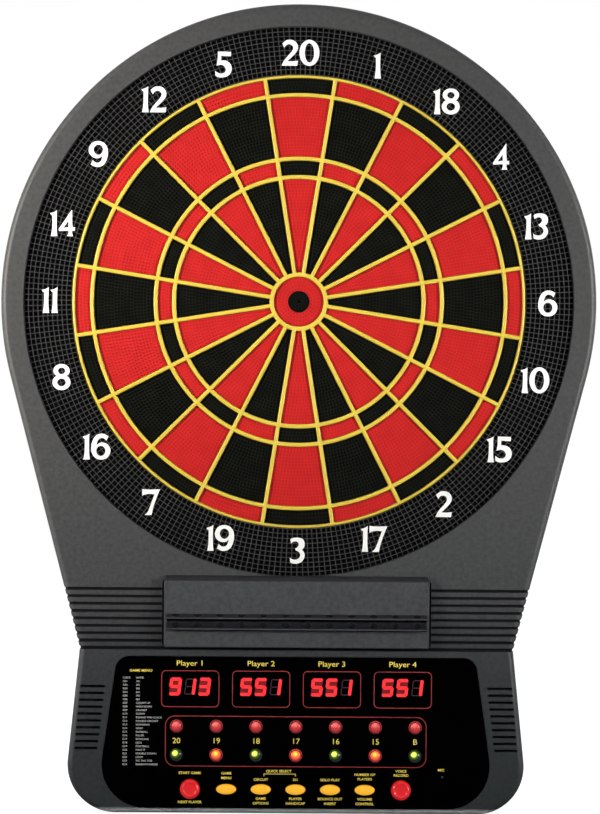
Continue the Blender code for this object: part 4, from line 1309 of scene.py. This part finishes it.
def make_cap(name, shape, profile, dome, finish, x):
    """A push button from its flange up to its face. The dome's loops shrink towards the middle by a share."""
    loops = layers(shape, profile)
    loops += [[(p.x * share, p.y * share, height) for p in shape] for share, height in dome]
    cap = stack(name + "_cap", loops, finish, "black_plastic")
    for face in cap.data.polygons:
        if face.center.z < 0.0490:
            face.material_index = 1
    settle(smooth(cap, 55.0), [name], name, at=(x, BUTTON_Y, 0))


def make_buttons():
    """Glossy caps, the round ones slightly dished, with a flange behind the panel."""
    flange = [(0.0, 0.0430), (0.0, 0.0458), (-0.0014, 0.0458), (-0.0014, 0.0477), (0.0, 0.0477)]
    flange.append((0.0, 0.0489))
    sides = flange + [(0.0, 0.0508), (0.0002, 0.0518), (0.0007, 0.0528), (0.0014, 0.0535), (0.0021, 0.0539)]
    dish = [(0.72, 0.0540), (0.69, 0.05395), (0.65, 0.0537), (0.61, 0.0534), (0.57, 0.0532), (0.52, 0.0531)]
    dish += [(0.40, 0.0530), (0.10, 0.0530)]
    for name, x in (("start_button", -ROUND_BUTTON_X), ("record_button", ROUND_BUTTON_X)):
        shape = circle(ROUND_BUTTON_RADIUS, steps=64)
        make_cap(name, shape, sides, dish, "button_red", x)
    sides = flange + [(0.0, 0.0512), (0.0002, 0.0521), (0.0007, 0.0529), (0.0013, 0.0534)]
    dome = [(0.66, 0.05375), (0.50, 0.0539), (0.30, 0.05398), (0.10, 0.0540)]
    width, height = OVAL_BUTTON_SIZE
    for name, x in oval_places().items():
        make_cap(name, ellipse(width, height, steps=48), sides, dome, "amber", x)


# Back and bottom


def keyhole_outline(centre, grow=0.0):
    radius, half_slot = 0.0052 + grow, 0.0028 + grow
    lift = math.asin(half_slot / radius)
    turn = 2 * (math.pi - lift) / 28
    entry = [polar(radius, lift + turn * step) for step in range(29)]
    top = [Vector((0, 0.012)) + polar(half_slot, math.pi * (step / 12 - 0.5)) for step in range(13)]
    return [p + Vector(centre) for p in entry + top]


PANEL_GAP = 0.006


def make_back_cover():
    """A plate with shallow recessed panels, keyholes in shallow recesses and screw recesses."""
    outline = inset(cabinet_outline(), CASE_WALL + 0.0004)
    rim = [(0.0005, 0.0), (0.0, 0.0005), (0.0, COVER_THICKNESS)]
    cover = prism("rear_cover", outline, rim, "cover")
    shapes = []
    for inner, outer, count in ((0.030, 0.100, 6), (0.110, 0.180, 8)):
        for sector in range(count):
            start, end = 2 * math.pi * sector / count, 2 * math.pi * (sector + 1) / count
            arc = []
            for radius, first, last in ((outer, start, end), (inner, end, start)):
                gap = math.copysign(PANEL_GAP / radius, last - first)
                arc += [polar(radius, first + gap + (last - first - 2 * gap) * k / 16) for k in range(17)]
            shapes.append(clockwise(arc))
    shapes.append(round_box(-0.085, 0.085, -0.425, -0.325, 0.006))
    recess = [(0.0006, 0.0009), (0.0, 0.0003), (0.0, -0.002)]
    carve(cover, joined("panels", [prism("recess", shape, recess) for shape in shapes]))
    carve(cover, at_bosses("screw_holes", 0.0021, 20, THROUGH))
    seat = [(0, -0.01), (-0.0003, -0.0001), (0, 0.0003), (0, 0.0018)]
    carve(cover, at_bosses("screw_seats", 0.0041, 28, seat))
    for grow, profile in ((0.004, [(0.0005, 0.0008), (0, 0.0002), (0, -0.01)]), (0.0, THROUGH)):
        cutters = [prism("keyhole", keyhole_outline(centre, grow), profile) for centre in KEYHOLES]
        carve(cover, joined("keyholes", cutters))
    settle(smooth(cover), ["back_cover"])


def make_screws():
    """Countersunk screws with a cross recess."""
    for index, place in enumerate(boss_places()):
        profile = [(0, 0.0162), (0.0005, 0.0158), (0.0014, 0.0135), (0.0014, 0.0030), (0.0030, 0.0015)]
        profile += [(0.0036, 0.0011), (0.0036, 0.0007), (0.0034, 0.0004), (0.0024, 0.0002), (0, 0.0002)]
        screw = lathe(f"screw_{index + 1}", profile, 32, "steel")
        for turn in (0.3, 0.3 + math.pi / 2):
            arm = round_box(-0.0017, 0.0017, -0.0004, 0.0004, 0.0002)
            cross = prism("cross", arm, [(0, -0.01), (0.0001, 0.0012)])
            carve(screw, moved(cross, angle=turn + index, axis="Z"))
        settle(smooth(screw, 40.0), [f"cover_screw_{index + 1}"], at=(*place, 0))


def make_jack():
    profile = [(0, -0.0010), (0.0007, -0.0010), (0.0010, -0.0014), (0.0010, -0.0080), (0.0030, -0.0080)]
    profile += [(0.0030, -0.0003), (0.0033, 0.0), (0.0042, 0.0), (0.0045, -0.0003), (0.0045, -0.0040)]
    profile += [(0.0062, -0.0040), (0.0062, -0.0120), (0, -0.0120)]
    jack = moved(lathe("power_inlet", profile, 40, "black_plastic"), angle=math.pi / 2)
    place = (JACK_X, BOTTOM_Y + 0.0003, INLET_HEIGHT)
    settle(smooth(jack, 40.0), ["dc_jack"], at=place)


def make_switch_knob():
    """A ribbed thumb piece on the slider."""
    outline = []
    for index in range(5):
        left = -0.0022 + index * 0.0044 / 5
        outline += [(left + 0.00008, 0.0), (left + 0.00035, 0.0005), (left + 0.00062, 0.0005)]
    outline += [(0.0022, 0.0), (0.0022, -0.0080), (-0.0022, -0.0080)]
    outline = clockwise([Vector(p) for p in outline])
    knob = moved(prism("switch_thumb", outline, [(0, -0.0016), (0, 0.0016)], "knob"), angle=math.pi, axis="Z")
    place = (SWITCH_X - SWITCH_TRAVEL / 2, BOTTOM_Y + 0.0002, INLET_HEIGHT)
    settle(knob, ["power_switch_slider"], "power_switch_slider", at=place)


CARRIED_OVER = {
    "display": ("display_1", "display_2", "display_3", "display_4"),
    "black_plastic": ("led_bar_upper", "led_bar_lower", "speaker", "power_switch_body"),
    "circuit": ("display_board", "button_board", "main_board"),
    "rubber": ("keypad_mat", "rubber_mat"),
    "film": ("sensor_matrix",),
    "hardboard": ("target_backplate",),
    "can": ("microphone",),
}


def dress_cad_nodes():
    """Gives their finish to the CAD nodes that are shown as they are."""
    for finish, names in CARRIED_OVER.items():
        for name in names:
            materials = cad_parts[name].data.materials
            materials.clear()
            materials.append(MATERIALS[finish])


# Surroundings


def area_light(name, place, target, size, power, colour=(1, 1, 1), spread_angle=180.0):
    data = bpy.data.lights.new(name, "AREA")
    data.shape = "RECTANGLE"
    data.spread = math.radians(spread_angle)
    data.size, data.size_y = size
    data.energy = power
    data.color = colour
    obj = placed(name, data)
    obj.location = place
    obj.rotation_euler = (Vector(target) - Vector(place)).to_track_quat("-Z", "Y").to_euler()


def seen_directly(tree):
    return node(tree, "LightPath", {}).outputs["Is Camera Ray"]


def make_floor():
    """A pale round floor, which looks white and lights the board less than that."""
    mesh = bpy.data.meshes.new("floor")
    count, reach = 96, 5.0
    points = [(*polar(reach, 2 * math.pi * i / count), CAD_BOX[0].z - 0.0005) for i in range(count)]
    mesh.from_pydata(points, [], [tuple(reversed(range(count)))])
    pale, tree, shader = new_material("pale_floor")
    cloudy = ramp(tree, noise(tree, 3.0), [(0.3, (0.29, 0.29, 0.29)), (0.7, (0.31, 0.31, 0.31))])
    tree.links.new(cloudy, shader.inputs["Base Color"])
    shader.inputs["Roughness"].default_value = 0.9
    shader.inputs["Specular IOR Level"].default_value = 0.1
    shader.inputs["Emission Color"].default_value = (1.0, 1.0, 1.0, 1.0)
    glow = spread(tree, seen_directly(tree), 0.0, 0.90, 0.0, 1.0)
    tree.links.new(glow, shader.inputs["Emission Strength"])
    mesh.materials.append(pale)
    placed("floor", mesh)


def make_world():
    """White to the eye, pale behind the board and dim and bluish before it."""
    world = bpy.data.worlds.new("studio")
    SCENE.world = world
    world.use_nodes = True
    tree = world.node_tree
    direction = node(tree, "TexCoord", {}).outputs["Generated"]
    depth = node(tree, "SeparateXYZ", {"Vector": direction}).outputs["Y"]
    behind = spread(tree, depth, 0.0, 1.0, -0.05, 0.35)
    light = ramp(tree, behind, [(0.0, (0.110, 0.155, 0.190)), (1.0, (0.85, 0.85, 0.85))])
    seen = tree.nodes.new("ShaderNodeMix")
    seen.data_type = "RGBA"
    tree.links.new(seen_directly(tree), seen.inputs["Factor"])
    tree.links.new(light, seen.inputs[6])
    seen.inputs[7].default_value = (1.0, 1.0, 1.0, 1.0)
    tree.links.new(seen.outputs[2], tree.nodes["Background"].inputs["Color"])


def make_lights():
    key_size, back_size = (0.8, 0.45), (1.2, 1.4)
    warm, neutral, back_aim = (1.0, 0.94, 0.87), (1.0, 0.98, 0.94), (0, 0, -0.1)
    area_light("left_softbox", (-1.70, -1.15, 0.22), (-0.59, 0, 0.159), key_size, 6.0, warm, 41.8)
    area_light("right_softbox", (1.70, -1.15, 0.05), (0.34, 0, -0.023), key_size, 2.15, neutral, 33.4)
    area_light("top_softbox", (0, -1.4, 2.2), (0, -0.6, -0.45), (1.6, 1.0), 3.0)
    # Two narrow ones: along the console's bottom edge, and along the left rim
    strip = ((0, -0.16, -0.4446), (0, 0, -0.4446), (0.36, 0.003))
    area_light("low_strip", *strip, 0.019, (1.0, 0.97, 0.93), 2.0)
    rim = ((-2.0, 0.06, -0.45), (-0.2, 0, -0.38), (0.3, 0.6))
    area_light("left_rim_light", *rim, 0.3, (1.0, 0.95, 0.92), 20.0)
    area_light("rear_left_softbox", (-1.8, 1.8, 0.8), back_aim, back_size, 8.0)
    area_light("rear_right_softbox", (1.8, 1.9, 0.5), back_aim, back_size, 4.0)


def make_camera():
    """Square on to the board, with the photograph's slight roll."""
    image_height, metres_a_pixel = 814, 0.000873
    aim_x, aim_z, roll = 0.0017, -0.0919, math.radians(-0.4)
    data = bpy.data.cameras.new("camera")
    data.lens = 150.0
    data.sensor_width = 36.0
    distance = image_height * metres_a_pixel * data.lens / data.sensor_width
    camera = placed("camera", data)
    camera.location = (aim_x, -(RING_FRONT + distance), aim_z)
    camera.rotation_euler = (math.pi / 2, roll, 0.0)
    SCENE.camera = camera


SCENE.view_settings.view_transform = "Standard"
make_camera()
make_floor()
make_world()
make_lights()
make_housing()
make_number_ring()
make_numbers()
make_spider()
make_segments()
make_bulls()
make_holder()
make_window()
make_displays()
make_prints()
make_lamps()
make_buttons()
make_back_cover()
make_screws()
make_jack()
make_switch_knob()
dress_cad_nodes()
